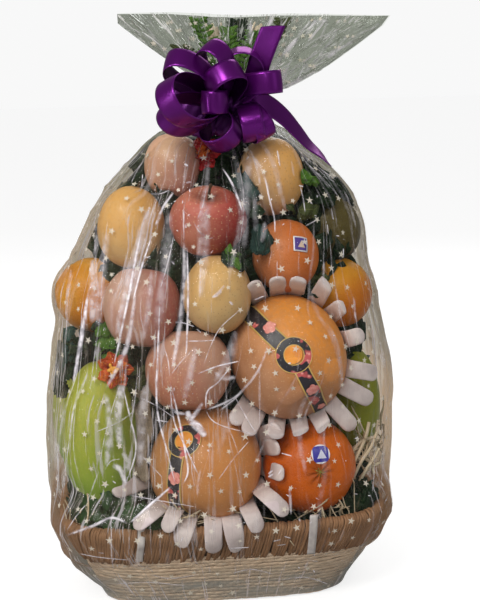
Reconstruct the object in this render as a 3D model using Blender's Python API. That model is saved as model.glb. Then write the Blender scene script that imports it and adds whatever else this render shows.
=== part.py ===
"""Fruit gift basket: a flared woven basket of fruit in one clear film bag, gathered and tied with a ribbon bow.

Metres, +Z up. The origin is on the ground under the middle of the basket, +X runs along the basket's
long side and the front, with the bow, faces -Y.
"""

import math

import bmesh
import bpy
from mathutils import Vector

# Basket: a flared tub, and a wrapped border that folds over its edge.
BASE_HALF_WIDTH = 0.118
BASE_HALF_DEPTH = 0.075
TUB_TOP_HALF_WIDTH = 0.1575
TUB_TOP_HALF_DEPTH = 0.1080
TUB_TOP = 0.081
TUB_WALL = 0.005
TUB_FLOOR = 0.008
TUB_SQUARENESS = 4.0
TUB_ROWS = 5
TUB_ROW_SWELL = 0.0012
TUB_EDGE_ROUND = 0.0015
BORDER_FOOT = 0.050
BORDER_THICKNESS = 0.0045
BORDER_SWELL = 0.0008
BORDER_EDGE_ROUND = 0.0012
BORDER_TOP = 0.088
BORDER_TOP_ROUND = (0.0018, 0.0052)
BORDER_INNER_FOOT = 0.068
BORDER_INNER_THICKNESS = 0.004
GAP = 0.0003
PLAY = 0.0008

# Film bag: height, half width, middle in x and half depth of its cross-section, from the rim to the tied neck.
RIM_LEVEL = BORDER_TOP + 0.0005
BAG_STATIONS = (
    (RIM_LEVEL, 0.1680, 0.002, 0.1160),
    (0.150, 0.1735, 0.004, 0.1120),
    (0.200, 0.1730, 0.006, 0.1100),
    (0.260, 0.1660, 0.005, 0.1060),
    (0.310, 0.1570, 0.006, 0.0990),
    (0.360, 0.1410, 0.013, 0.0880),
    (0.400, 0.1195, 0.015, 0.0740),
    (0.435, 0.0850, 0.013, 0.0530),
    (0.455, 0.0610, 0.014, 0.0350),
    (0.4665, 0.0280, 0.020, 0.0190),
    (0.4735, 0.0155, 0.021, 0.0150),
    (0.4800, 0.0150, 0.021, 0.0145),
    (0.4890, 0.0150, 0.021, 0.0145),
)
BAG_SQUARENESS = 2.5
BAG_AROUND = 56
BAG_ROWS = 24
SHOULDER_TOP = 0.4500
NECK_TOP = 0.4890
NECK_LEVELS = (0.4560, 0.4620, 0.4670, 0.4715, 0.4745, NECK_TOP)
NECK_PLEATS = 8
NECK_PLEAT_SHARE = 0.07
NECK_PLEATS_FROM = 0.415
FILM_SLACK = 0.0035
FILM_BLEND = 0.0030

# Fruit that presses on the film: middle, then half width, half depth and half height.
FRUIT = {
    "pear_lower": ((-0.018, -0.064, 0.136), (0.0540, 0.0540, 0.0555)),
    "orange_big": ((0.083, -0.066, 0.130), (0.0450, 0.0450, 0.0460)),
    "mango_left": ((-0.118, -0.056, 0.167), (0.0370, 0.0360, 0.0740)),
    "mango_right": ((0.142, -0.020, 0.182), (0.0320, 0.0360, 0.0560)),
    "pear_upper": ((0.065, -0.064, 0.239), (0.0550, 0.0540, 0.0570)),
    "apple_low": ((-0.032, -0.070, 0.232), (0.0410, 0.0400, 0.0365)),
    "apple_left": ((-0.074, -0.060, 0.293), (0.0365, 0.0360, 0.0360)),
    "pear_small": ((-0.002, -0.070, 0.304), (0.0325, 0.0330, 0.0370)),
    "orange_left": ((-0.120, -0.006, 0.295), (0.0360, 0.0360, 0.0360)),
    "orange_middle": ((0.066, -0.052, 0.335), (0.0320, 0.0330, 0.0345)),
    "orange_right": ((0.122, -0.016, 0.291), (0.0350, 0.0350, 0.0350)),
    "avocado": ((0.116, 0.012, 0.351), (0.0330, 0.0320, 0.0370)),
    "apple_red": ((-0.008, -0.056, 0.372), (0.0370, 0.0350, 0.0305)),
    "pear_left": ((-0.080, -0.040, 0.367), (0.0320, 0.0320, 0.0390)),
    "pear_top": ((0.055, -0.036, 0.411), (0.0325, 0.0320, 0.0370)),
    "apple_top": ((-0.038, -0.030, 0.424), (0.0275, 0.0270, 0.0280)),
    "back_pear": ((0.062, 0.060, 0.150), (0.0540, 0.0540, 0.0550)),
    "back_apple_low": ((-0.048, 0.068, 0.143), (0.0430, 0.0410, 0.0390)),
    "back_mango": ((-0.126, 0.034, 0.170), (0.0330, 0.0340, 0.0680)),
    "back_apple_middle": ((0.000, 0.062, 0.232), (0.0440, 0.0430, 0.0410)),
    "back_orange": ((-0.080, 0.056, 0.250), (0.0380, 0.0380, 0.0380)),
    "back_pear_small": ((0.084, 0.050, 0.260), (0.0370, 0.0370, 0.0410)),
    "back_apple_high": ((-0.030, 0.050, 0.318), (0.0380, 0.0370, 0.0350)),
    "back_orange_high": ((0.048, 0.046, 0.334), (0.0350, 0.0350, 0.0350)),
    "back_pear_high": ((0.006, 0.034, 0.394), (0.0330, 0.0320, 0.0370)),
}

# Film above the tie: two pleated fans, open at the top and cut level.
FAN_ROOT = (0.021, 0.4835)
FAN_CUT_HEIGHT = 0.5640
FAN_FIRST_ANGLE = 26.3
FAN_LAST_ANGLE = 144.0
FAN_THICKNESS = 0.0010
FAN_PLEATS = 7
FAN_STEPS_PER_PLEAT = 5
FAN_STEPS_UP = 4
FAN_SAG_RIGHT = 0.0145
FAN_SAG_LEFT = 0.0085
FAN_SPREAD_FRONT = 0.026
FAN_SPREAD_BACK = 0.040
FAN_PLEAT_DEPTH = 0.0055
FAN_SIDE_GAP = 0.0040
FAN_ROOT_BULGE = 0.0040
FAN_FOOT_GAP = 0.0006
FAN_CUT_WAVE = 0.0012
FAN_CUT_WAVES = 9.0

# Ribbon bow: where its knot is, and the ribbon.
KNOT = Vector((0.018, -0.0385, 0.4815))
KNOT_RADII = (0.0190, 0.0226, 0.0150)
KNOT_ROWS = 7
KNOT_AROUND = 14
RIBBON_WIDTH = 0.0210
RIBBON_THICKNESS = 0.0010
TIE_INNER_RADIUS = 0.0168
TIE_RADIUS = 0.0182
TIE_HALF_HEIGHT = 0.0055
TIE_AROUND = 20
LOOP_STEPS = 14
LOOP_ROOT = Vector((0.0150, -0.0500, 0.4800))
LOOP_END_SHARE = 0.03
LOOP_WIDEST = 0.77
LOOP_PINCH = (0.30, 0.62, 0.92)
# Each loop: its root to the right and up from the common one, reach, opening, direction in the front view,
# lean to the front and roll about its own length.
LOOPS = {
    "left_large": (-0.002, 0.002, 0.100, 0.045, 172, 52, 28),
    "left_under": (-0.004, -0.001, 0.078, 0.034, 187, 40, 26),
    "upper_left": (0.000, 0.002, 0.076, 0.034, 143, 22, -48),
    "upper_middle": (-0.005, 0.002, 0.064, 0.031, 103, 30, -44),
    "centre_upper": (-0.006, 0.002, 0.056, 0.035, 87, 56, 22),
    "upper_right": (0.003, 0.003, 0.052, 0.037, 71, 18, 0),
    "right": (0.004, 0.017, 0.048, 0.028, 6, 24, 86),
    "centre_front": (-0.007, 0.005, 0.046, 0.023, 182, 74, 88),
    "lower_middle": (-0.008, -0.002, 0.044, 0.035, 266, 40, 34),
    "lower_right": (0.016, 0.001, 0.041, 0.032, 279, 46, 92),
    "lower_right_back": (0.012, 0.000, 0.042, 0.026, 306, 34, 72),
}
TAIL_STEPS = 16
TAIL_SLANT_ROWS = 4
# Each tail: points along its middle, then the ribbon's turn from lying in the front view at its start and its end.
UP_TAIL = ((0.0200, -0.0500, 0.4840), (0.0373, -0.0550, 0.4984), (0.0458, -0.0610, 0.5236), (0.0596, -0.0600, 0.5560))
UP_TAIL_TURN = (20.0, 6.0)
UP_TAIL_SLANT = 0.0095
SHOULDER_TAIL = (
    (0.0220, -0.0480, 0.4860),
    (0.0382, -0.0450, 0.4851),
    (0.0542, -0.0380, 0.4788),
    (0.0695, -0.0300, 0.4676),
    (0.0837, -0.0240, 0.4525),
    (0.0955, -0.0205, 0.4392),
    (0.1070, -0.0185, 0.4292),
    (0.1165, -0.0170, 0.4190),
)
SHOULDER_TAIL_TURN = (8.0, 84.0)
SHOULDER_TAIL_SLANT = 0.0100

# Greenery in the open top: foot, tip, half width, and how far it bows to the front.
LEAVES = {
    "leaf_top_1": ((0.0105, 0.0005, 0.4905), (-0.026, -0.0010, 0.537), 0.0100, 0.000),
    "leaf_top_2": ((0.0140, -0.0022, 0.4903), (-0.008, -0.0120, 0.562), 0.0105, -0.002),
    "leaf_top_3": ((0.0190, 0.0005, 0.4903), (0.022, -0.0010, 0.553), 0.0110, 0.000),
    "leaf_top_4": ((0.0260, -0.0022, 0.4903), (0.046, -0.0120, 0.549), 0.0105, -0.002),
    "leaf_top_5": ((0.0310, 0.0005, 0.4905), (0.076, -0.0020, 0.560), 0.0100, 0.000),
    "leaf_top_6": ((0.0200, 0.0032, 0.4903), (0.034, 0.0140, 0.560), 0.0120, 0.002),
}
LEAF_THICKNESS = 0.0008
LEAF_STEM_SHARE = 0.34
LEAF_STEM_HALF_WIDTH = 0.0010
LEAF_STEPS_LONG = 10
LEAF_STEPS_ACROSS = 2
LEAF_WAVE = 0.0016
LEAF_CUP = 0.10
BLOSSOMS = {
    "blossom_top_1": ((0.0145, 0.0032, 0.4906), (0.009, 0.0100, 0.561), 0.0080),
    "blossom_top_2": ((0.0260, 0.0032, 0.4906), (0.061, 0.0140, 0.561), 0.0090),
}
BLOSSOM_STEM_RADIUS = 0.0011
BLOSSOM_STEM_SHARE = 0.45
BLOSSOM_DEPTH_SHARE = 0.7
BLOSSOM_AROUND = 15
BLOSSOM_ROWS = 10
BLOSSOM_LOBES = 5
BLOSSOM_LOBE_SHARE = 0.26
BLOSSOM_LOBE_LIFT = 0.0015

FRONT = Vector((0.0, -1.0, 0.0))

WOVEN_COLOUR = (0.36, 0.24, 0.16)
BORDER_COLOUR = (0.27, 0.17, 0.11)
FILM_COLOUR = (0.55, 0.58, 0.52)
RIBBON_COLOUR = (0.17, 0.01, 0.22)
LEAF_COLOUR = (0.10, 0.22, 0.04)
BLOSSOM_COLOUR = (0.62, 0.55, 0.46)


def clear_scene():
    for item in list(bpy.data.objects):
        bpy.data.objects.remove(item, do_unlink=True)


def material(name, colour, roughness, metallic=0.0, alpha=1.0):
    made = bpy.data.materials.new(name)
    made.use_nodes = True
    shader = made.node_tree.nodes["Principled BSDF"]
    shader.inputs["Base Color"].default_value = (*colour, 1.0)
    shader.inputs["Roughness"].default_value = roughness
    shader.inputs["Metallic"].default_value = metallic
    shader.inputs["Alpha"].default_value = alpha
    return made


def solid(name, points, faces, finish, smooth_angle=40.0):
    """An object from points and faces, with its faces turned outwards."""
    mesh = bpy.data.meshes.new(name)
    mesh.from_pydata([tuple(p) for p in points], [], faces)
    shape = bmesh.new()
    shape.from_mesh(mesh)
    bmesh.ops.recalc_face_normals(shape, faces=shape.faces[:])
    shape.to_mesh(mesh)
    shape.free()
    mesh.materials.append(finish)
    mesh.shade_smooth()
    mesh.set_sharp_from_angle(angle=math.radians(smooth_angle))
    made = bpy.data.objects.new(name, mesh)
    bpy.context.scene.collection.objects.link(made)
    return made


def superellipse(half_width, half_depth, squareness, around, middle=0.0, height=0.0):
    """One level ring: an ellipse whose corners fill out as the squareness grows."""
    power = 2.0 / squareness
    ring = []
    for step in range(around):
        angle = 2 * math.pi * step / around
        c, s = math.cos(angle), math.sin(angle)
        x = half_width * math.copysign(abs(c) ** power, c)
        y = half_depth * math.copysign(abs(s) ** power, s)
        ring.append((middle + x, y, height))
    return ring


def bands(count, around, closed=False):
    """Faces between neighbouring rings of the same number of points."""
    faces = []
    for row in range(count if closed else count - 1):
        above = (row + 1) % count
        for step in range(around):
            beside = (step + 1) % around
            faces.append(
                (row * around + step, row * around + beside, above * around + beside, above * around + step)
            )
    return faces


def lofted(name, rings, finish):
    """A closed skin over rings, with a flat cap on the first and on the last."""
    around = len(rings[0])
    points = [p for ring in rings for p in ring]
    faces = bands(len(rings), around)
    faces.append(tuple(reversed(range(around))))
    faces.append(tuple(range((len(rings) - 1) * around, len(rings) * around)))
    return solid(name, points, faces, finish)


def sheet(name, rows, offset, finish):
    """A thin solid from a grid of points, both faces split into triangles alike. The offset gives half its thickness."""
    long, wide = len(rows), len(rows[0])
    front, back = [], []
    for i, row in enumerate(rows):
        for j, point in enumerate(row):
            step = offset(rows, i, j)
            front.append(Vector(point) + step)
            back.append(Vector(point) - step)
    faces = []
    under = long * wide
    for i in range(long - 1):
        for j in range(wide - 1):
            a, b = i * wide + j, i * wide + j + 1
            c, d = (i + 1) * wide + j + 1, (i + 1) * wide + j
            faces += [(a, b, c), (a, c, d), (under + c, under + b, under + a), (under + d, under + c, under + a)]
    edge = [j for j in range(wide)]
    edge += [i * wide + wide - 1 for i in range(1, long)]
    edge += [(long - 1) * wide + j for j in range(wide - 2, -1, -1)]
    edge += [i * wide for i in range(long - 2, 0, -1)]
    for k, a in enumerate(edge):
        b = edge[(k + 1) % len(edge)]
        faces += [(b, a, under + a), (b, under + a, under + b)]
    return solid(name, front + back, faces, finish)


def across_surface(half_thickness):
    """Half a thickness along the grid's own normal at each point."""

    def step(rows, i, j):
        last, end = len(rows) - 1, len(rows[0]) - 1
        along = Vector(rows[min(i + 1, last)][j]) - Vector(rows[max(i - 1, 0)][j])
        side = Vector(rows[i][min(j + 1, end)]) - Vector(rows[i][max(j - 1, 0)])
        return along.cross(side).normalized() * half_thickness

    return step


def smooth_through(stations, column, height):
    """A value read from the stations' curve, which passes each station without a corner."""
    levels = [row[0] for row in stations]
    values = [row[column] for row in stations]
    if height <= levels[0]:
        return values[0]
    if height >= levels[-1]:
        return values[-1]
    k = max(i for i in range(len(levels) - 1) if levels[i] <= height)

    def slope(i):
        low, high = max(i - 1, 0), min(i + 1, len(levels) - 1)
        return (values[high] - values[low]) / (levels[high] - levels[low])

    span = levels[k + 1] - levels[k]
    t = (height - levels[k]) / span
    return (
        (2 * t**3 - 3 * t**2 + 1) * values[k]
        + (t**3 - 2 * t**2 + t) * span * slope(k)
        + (-2 * t**3 + 3 * t**2) * values[k + 1]
        + (t**3 - t**2) * span * slope(k + 1)
    )


# Basket


def tub_size(height, outwards=0.0):
    """Half width and half depth of the tub's outer wall at a height."""
    share = height / TUB_TOP
    width = BASE_HALF_WIDTH + (TUB_TOP_HALF_WIDTH - BASE_HALF_WIDTH) * share
    depth = BASE_HALF_DEPTH + (TUB_TOP_HALF_DEPTH - BASE_HALF_DEPTH) * share
    return width + outwards, depth + outwards


def tub_ring(height, outwards=0.0):
    width, depth = tub_size(height, outwards)
    return superellipse(width, depth, TUB_SQUARENESS, BAG_AROUND, height=height)


def make_tub(finish):
    """The tub: rows of weave swell slightly below the border, smooth wall under it, and a flat floor."""
    rings = [tub_ring(0.0, -TUB_EDGE_ROUND), tub_ring(TUB_EDGE_ROUND)]
    row_height = (BORDER_FOOT - 2 * TUB_EDGE_ROUND) / TUB_ROWS
    for row in range(TUB_ROWS):
        low = TUB_EDGE_ROUND + row * row_height
        rings.append(tub_ring(low + 0.5 * row_height, TUB_ROW_SWELL))
        rings.append(tub_ring(low + row_height))
    rings.append(tub_ring(TUB_TOP))
    rings.append(tub_ring(TUB_TOP, -TUB_WALL))
    rings.append(tub_ring(TUB_FLOOR, -TUB_WALL))
    return lofted("basket_tub", rings, finish)


def make_border(finish):
    """The border: a folded band over the tub's edge, its outer leg down to the foot and its inner leg shorter."""
    outer = BORDER_THICKNESS
    against_wall = -TUB_WALL - GAP
    inner = against_wall - BORDER_INNER_THICKNESS
    crown = TUB_TOP + GAP
    drop, inset = BORDER_TOP_ROUND
    profile = (
        (BORDER_FOOT, GAP),
        (BORDER_FOOT, outer - BORDER_EDGE_ROUND),
        (BORDER_FOOT + 2 * BORDER_EDGE_ROUND, outer),
        (crown - drop, outer + BORDER_SWELL),
        (BORDER_TOP - drop, outer - BORDER_EDGE_ROUND),
        (BORDER_TOP, outer - inset),
        (BORDER_TOP, inner + inset),
        (BORDER_TOP - drop, inner + BORDER_EDGE_ROUND),
        (crown - drop, inner),
        (BORDER_INNER_FOOT, inner),
        (BORDER_INNER_FOOT, against_wall),
        (crown, against_wall),
        (crown, GAP),
    )
    rings = []
    for height, outwards in profile:
        width, depth = tub_size(min(height, crown), outwards)
        rings.append(superellipse(width, depth, TUB_SQUARENESS, BAG_AROUND, height=height))
    points = [p for ring in rings for p in ring]
    return solid("basket_border", points, bands(len(rings), BAG_AROUND, closed=True), finish)


# Film bag


def reach_of_fruit(origin, heading):
    """How far out from the bag's axis each fruit's skin, with the film's slack, lies on a level ray."""
    found = []
    for middle, radii in FRUIT.values():
        size = [r + FILM_SLACK for r in radii]
        start = [(o - m) / r for o, m, r in zip(origin, middle, size)]
        ray = [h / r for h, r in zip(heading, size)]
        a = sum(v * v for v in ray)
        b = sum(p * v for p, v in zip(start, ray))
        c = sum(p * p for p in start) - 1.0
        room = b * b - a * c
        if room > 0:
            found.append((-b + math.sqrt(room)) / a)
    return found


def bag_ring(height):
    """The film's cross-section: the stretched film, pushed out where fruit presses on it, and pleated at the neck."""
    half_width = smooth_through(BAG_STATIONS, 1, height)
    middle = smooth_through(BAG_STATIONS, 2, height)
    half_depth = smooth_through(BAG_STATIONS, 3, height)
    rise = max(0.0, height - NECK_PLEATS_FROM) / (NECK_TOP - NECK_PLEATS_FROM)
    ring = []
    for x, y, _ in superellipse(half_width, half_depth, BAG_SQUARENESS, BAG_AROUND, height=height):
        stretched = math.hypot(x, y)
        heading = (x / stretched, y / stretched, 0.0)
        total = 1.0
        for reach in reach_of_fruit((middle, 0.0, height), heading):
            total += math.exp(min((reach - stretched) / FILM_BLEND, 60.0))
        out = stretched + FILM_BLEND * math.log(total)
        angle = math.atan2(y, x)
        out *= 1.0 - NECK_PLEAT_SHARE * rise * (1.0 - math.cos(NECK_PLEATS * angle))
        ring.append((middle + heading[0] * out, heading[1] * out, height))
    return ring


def make_bag(finish):
    """The filled bag, from the basket's floor, out over its rim and up to the tied neck."""
    inside = -TUB_WALL - PLAY
    beside_border = -TUB_WALL - GAP - BORDER_INNER_THICKNESS - PLAY
    rings = []
    for height, outwards in (
        (TUB_FLOOR + GAP, inside),
        (BORDER_INNER_FOOT - 4 * PLAY, inside),
        (BORDER_INNER_FOOT - 2 * PLAY, beside_border),
    ):
        rings.append(tub_ring(height, outwards))
    width, depth = tub_size(TUB_TOP, beside_border)
    rings.append(superellipse(width, depth, TUB_SQUARENESS, BAG_AROUND, height=RIM_LEVEL))
    for row in range(BAG_ROWS + 1):
        rings.append(bag_ring(RIM_LEVEL + (SHOULDER_TOP - RIM_LEVEL) * row / BAG_ROWS))
    for height in NECK_LEVELS:
        rings.append(bag_ring(height))
    return lofted("film_bag", rings, finish)


# Film above the tie


def fan_point(angle, share, spread, side):
    """A point of a fan: out along an angle from the tie to the level cut, bowed and pleated."""
    first, last = math.radians(FAN_FIRST_ANGLE), math.radians(FAN_LAST_ANGLE)
    across = (angle - first) / (last - first)
    cut = FAN_CUT_HEIGHT + FAN_CUT_WAVE * math.sin(FAN_CUT_WAVES * across)
    full = (cut - FAN_ROOT[1]) / math.sin(angle)
    near = (NECK_TOP + FAN_FOOT_GAP - FAN_ROOT[1]) / math.sin(angle)
    out = near + (full - near) * share
    sag = (FAN_SAG_RIGHT * (1.0 - across) ** 2 + FAN_SAG_LEFT * across**2) * math.sin(math.pi * share)
    bow = math.sin(math.pi * min(max(across, 0.0), 1.0)) ** 0.6
    pleat = FAN_PLEAT_DEPTH * share**0.8 * math.sin(2 * math.pi * FAN_PLEATS * across)
    y = side * (FAN_SIDE_GAP + (FAN_ROOT_BULGE + spread * share) * bow) + pleat * bow
    return Vector((FAN_ROOT[0] + out * math.cos(angle), y, FAN_ROOT[1] + out * math.sin(angle) - sag))


def make_fan(name, spread, side, finish):
    steps = FAN_PLEATS * FAN_STEPS_PER_PLEAT
    rows = []
    for i in range(steps + 1):
        angle = math.radians(FAN_FIRST_ANGLE + (FAN_LAST_ANGLE - FAN_FIRST_ANGLE) * i / steps)
        rows.append([fan_point(angle, j / FAN_STEPS_UP, spread, side) for j in range(FAN_STEPS_UP + 1)])
    level = Vector((0.0, FAN_THICKNESS / 2, 0.0))
    return sheet(name, rows, lambda grid, i, j: level, finish)


# Bow


def strip(name, path, across, slant, finish):
    """A ribbon along a path, with its width along the direction given at each point and its tip cut on a slant."""
    rows = [[p - w * RIBBON_WIDTH / 2, p + w * RIBBON_WIDTH / 2] for p, w in zip(path, across)]
    back = (path[-2] - path[-1]).normalized() * slant
    for k in range(TAIL_SLANT_ROWS):
        rows[-1 - k][0] += back * (1 - k / TAIL_SLANT_ROWS)
    return sheet(name, rows, across_surface(RIBBON_THICKNESS / 2), finish)


def make_loop(name, right, up, reach, opening, direction, lean, roll, finish):
    """A teardrop loop of ribbon whose two ends are buried in the knot."""
    turn, tip, spin = (math.radians(v) for v in (direction, lean, roll))
    root = LOOP_ROOT + Vector((right, 0.0, up))
    flat = Vector((math.cos(turn), 0.0, math.sin(turn)))
    out = flat * math.cos(tip) + FRONT * math.sin(tip)
    beside = Vector((-math.sin(turn), 0.0, math.cos(turn)))
    facing = out.cross(beside)
    opens = beside * math.cos(spin) + facing * math.sin(spin)
    across = out.cross(opens).normalized()
    path = []
    for step in range(LOOP_STEPS + 1):
        angle = 2 * math.pi * (LOOP_END_SHARE + (1 - 2 * LOOP_END_SHARE) * step / LOOP_STEPS)
        along = reach * (1 - math.cos(angle)) / 2
        beside_axis = opening / 2 / LOOP_WIDEST * math.sin(angle) * math.sin(angle / 2)
        path.append(root + out * along + opens * beside_axis)
    widths = [across] * len(path)
    for k, share in enumerate(LOOP_PINCH):
        widths[k] = widths[-1 - k] = across * share
    return strip(name, path, widths, 0.0, finish)


def smooth_path(points, steps):
    """Points along a curve that passes through the given ones."""
    knots = [Vector(p) for p in points]
    path = []
    for step in range(steps + 1):
        place = step / steps * (len(knots) - 1)
        k = min(int(place), len(knots) - 2)
        t = place - k
        before, a, b, after = knots[max(k - 1, 0)], knots[k], knots[k + 1], knots[min(k + 2, len(knots) - 1)]
        start, end = (b - before) / 2, (after - a) / 2
        path.append(
            a * (2 * t**3 - 3 * t**2 + 1)
            + start * (t**3 - 2 * t**2 + t)
            + b * (-2 * t**3 + 3 * t**2)
            + end * (t**3 - t**2)
        )
    return path


def make_tail(name, points, turns, slant, finish):
    """A loose end of ribbon, turning from one angle to another about its own path, its tip cut on a slant."""
    path = smooth_path(points, TAIL_STEPS)
    across = []
    for step in range(TAIL_STEPS + 1):
        along = (path[min(step + 1, TAIL_STEPS)] - path[max(step - 1, 0)]).normalized()
        turn = math.radians(turns[0] + (turns[1] - turns[0]) * step / TAIL_STEPS)
        level = along.cross(FRONT).normalized()
        to_front = level.cross(along)
        across.append(level * math.cos(turn) + to_front * math.sin(turn))
    return strip(name, path, across, slant, finish)


def make_knot(finish):
    """The knot: a rounded lump in front of the neck."""
    rings = []
    for row in range(KNOT_ROWS):
        tilt = math.pi * (row + 0.5) / KNOT_ROWS
        ring = []
        for step in range(KNOT_AROUND):
            turn = 2 * math.pi * step / KNOT_AROUND
            x = KNOT.x + KNOT_RADII[0] * math.sin(tilt) * math.cos(turn)
            y = KNOT.y + KNOT_RADII[1] * math.sin(tilt) * math.sin(turn)
            ring.append((x, y, KNOT.z - KNOT_RADII[2] * math.cos(tilt)))
        rings.append(ring)
    return lofted("bow", rings, finish)


def make_tie(finish):
    """The ribbon's turn round the neck."""
    rings = []
    for radius, height in (
        (TIE_INNER_RADIUS, -TIE_HALF_HEIGHT),
        (TIE_RADIUS, -TIE_HALF_HEIGHT),
        (TIE_RADIUS, TIE_HALF_HEIGHT),
        (TIE_INNER_RADIUS, TIE_HALF_HEIGHT),
    ):
        rings.append(superellipse(radius, radius, 2.0, TIE_AROUND, FAN_ROOT[0], KNOT.z + height))
    points = [p for ring in rings for p in ring]
    return solid("tie", points, bands(len(rings), TIE_AROUND, closed=True), finish)


def fill_pockets(mesh):
    """Keeps the largest shell of a mesh, which fills the sealed pockets between strips that cross."""
    shape = bmesh.new()
    shape.from_mesh(mesh)
    seen, shells = set(), []
    for face in shape.faces:
        if face in seen:
            continue
        seen.add(face)
        shell = [face]
        for member in shell:
            for edge in member.edges:
                for beside in edge.link_faces:
                    if beside not in seen:
                        seen.add(beside)
                        shell.append(beside)
        shells.append(shell)
    shells.sort(key=len)
    for shell in shells[:-1]:
        bmesh.ops.delete(shape, geom=shell, context="FACES")
    shape.to_mesh(mesh)
    shape.free()


def make_bow(finish):
    """Knot, tie, loops and tails joined into one ribbon."""
    bow = make_knot(finish)
    ribbons = bpy.data.collections.new("ribbons")
    pieces = [
        make_tie(finish),
        make_tail("tail_up", UP_TAIL, UP_TAIL_TURN, UP_TAIL_SLANT, finish),
        make_tail("tail_shoulder", SHOULDER_TAIL, SHOULDER_TAIL_TURN, SHOULDER_TAIL_SLANT, finish),
    ]
    for name, values in LOOPS.items():
        pieces.append(make_loop("loop_" + name, *values, finish))
    for piece in pieces:
        bpy.context.scene.collection.objects.unlink(piece)
        ribbons.objects.link(piece)
    join = bow.modifiers.new("join", "BOOLEAN")
    join.operation = "UNION"
    join.solver = "EXACT"
    join.operand_type = "COLLECTION"
    join.collection = ribbons
    bpy.context.view_layer.update()
    joined = bpy.data.meshes.new_from_object(bow.evaluated_get(bpy.context.evaluated_depsgraph_get()))
    bow.modifiers.remove(join)
    fill_pockets(joined)
    bow.data = joined
    for piece in pieces:
        bpy.data.objects.remove(piece, do_unlink=True)
    bpy.data.collections.remove(ribbons)
    return bow


# Greenery in the open top


def make_leaf(name, foot, tip, half_width, bend, finish):
    """A thin wavy leaf on a narrow stem."""
    foot, tip = Vector(foot), Vector(tip)
    along = tip - foot
    side = along.cross(Vector((0.0, 1.0, 0.0))).normalized()
    rows = []
    for i in range(LEAF_STEPS_LONG + 1):
        t = i / LEAF_STEPS_LONG
        blade = max(0.0, (t - LEAF_STEM_SHARE) / (1 - LEAF_STEM_SHARE))
        width = LEAF_STEM_HALF_WIDTH + half_width * math.sin(math.pi * blade**0.8) * (1 - 0.25 * blade)
        if i == LEAF_STEPS_LONG:
            width = 0.5 * LEAF_STEM_HALF_WIDTH
        row = []
        for j in range(LEAF_STEPS_ACROSS + 1):
            share = 2 * j / LEAF_STEPS_ACROSS - 1
            wave = LEAF_WAVE * blade * math.sin(11 * blade + 2.2 * share) * abs(share)
            y = bend * math.sin(math.pi * t) + wave + LEAF_CUP * width * share * share
            row.append(foot + along * t + side * width * share + Vector((0.0, y, 0.0)))
        rows.append(row)
    level = Vector((0.0, LEAF_THICKNESS / 2, 0.0))
    return sheet(name, rows, lambda grid, i, j: level, finish)


def make_blossom(name, foot, tip, radius, finish):
    """A half-open flower of soft lobes on a stem."""
    foot, tip = Vector(foot), Vector(tip)
    rings = []
    for row in range(BLOSSOM_ROWS + 1):
        t = row / BLOSSOM_ROWS
        opened = max(0.0, (t - BLOSSOM_STEM_SHARE) / (1 - BLOSSOM_STEM_SHARE))
        size = BLOSSOM_STEM_RADIUS + radius * max(0.0, math.sin(0.86 * math.pi * opened)) ** 0.8
        middle = foot.lerp(tip, t)
        ring = []
        for step in range(BLOSSOM_AROUND):
            turn = 2 * math.pi * step / BLOSSOM_AROUND
            lobe = opened * math.cos(BLOSSOM_LOBES * turn)
            out = size * (1 + BLOSSOM_LOBE_SHARE * lobe)
            x = middle.x + out * math.cos(turn)
            y = middle.y + BLOSSOM_DEPTH_SHARE * out * math.sin(turn)
            ring.append((x, y, middle.z + BLOSSOM_LOBE_LIFT * lobe))
        rings.append(ring)
    return lofted(name, rings, finish)


def main():
    clear_scene()
    woven = material("woven_strands", WOVEN_COLOUR, 0.75)
    wrapped = material("wrapped_strands", BORDER_COLOUR, 0.75)
    film = material("clear_film", FILM_COLOUR, 0.15, alpha=0.35)
    ribbon = material("satin_ribbon", RIBBON_COLOUR, 0.28)
    green = material("leaf_green", LEAF_COLOUR, 0.55)
    cream = material("blossom_cream", BLOSSOM_COLOUR, 0.60)
    make_tub(woven)
    make_border(wrapped)
    make_bag(film)
    make_fan("film_flare_front", FAN_SPREAD_FRONT, -1.0, film)
    make_fan("film_flare_back", FAN_SPREAD_BACK, 1.0, film)
    make_bow(ribbon)
    for name, values in LEAVES.items():
        make_leaf(name, *values, green)
    for name, values in BLOSSOMS.items():
        make_blossom(name, *values, cream)


main()
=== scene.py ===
import math

import bpy
import numpy as np
from mathutils import Matrix, Vector
from mathutils.bvhtree import BVHTree


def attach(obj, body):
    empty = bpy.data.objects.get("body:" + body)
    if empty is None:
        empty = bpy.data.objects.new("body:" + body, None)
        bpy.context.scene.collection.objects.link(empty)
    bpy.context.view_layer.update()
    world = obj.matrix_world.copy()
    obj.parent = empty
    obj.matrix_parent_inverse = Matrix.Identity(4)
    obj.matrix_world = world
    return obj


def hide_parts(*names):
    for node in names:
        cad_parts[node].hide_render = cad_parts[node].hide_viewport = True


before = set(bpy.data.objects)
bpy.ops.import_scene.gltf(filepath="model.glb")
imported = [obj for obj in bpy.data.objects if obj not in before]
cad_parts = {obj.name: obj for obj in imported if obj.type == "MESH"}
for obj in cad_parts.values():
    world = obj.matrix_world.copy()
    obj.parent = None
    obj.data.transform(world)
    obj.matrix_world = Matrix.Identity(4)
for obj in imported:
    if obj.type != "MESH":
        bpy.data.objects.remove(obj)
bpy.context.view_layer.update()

# Camera at the photograph's angle
TARGET = Vector((0.0265, 0.0, 0.285))
DISTANCE = 1.4
LENS = 84.0
FOCAL_PIXELS, PHOTO_MIDDLE = 1400.0, (240.0, 300.0)
AZIMUTH, ELEVATION, ROLL = (math.radians(v) for v in (-6.0, 10.0, 1.5))

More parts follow.
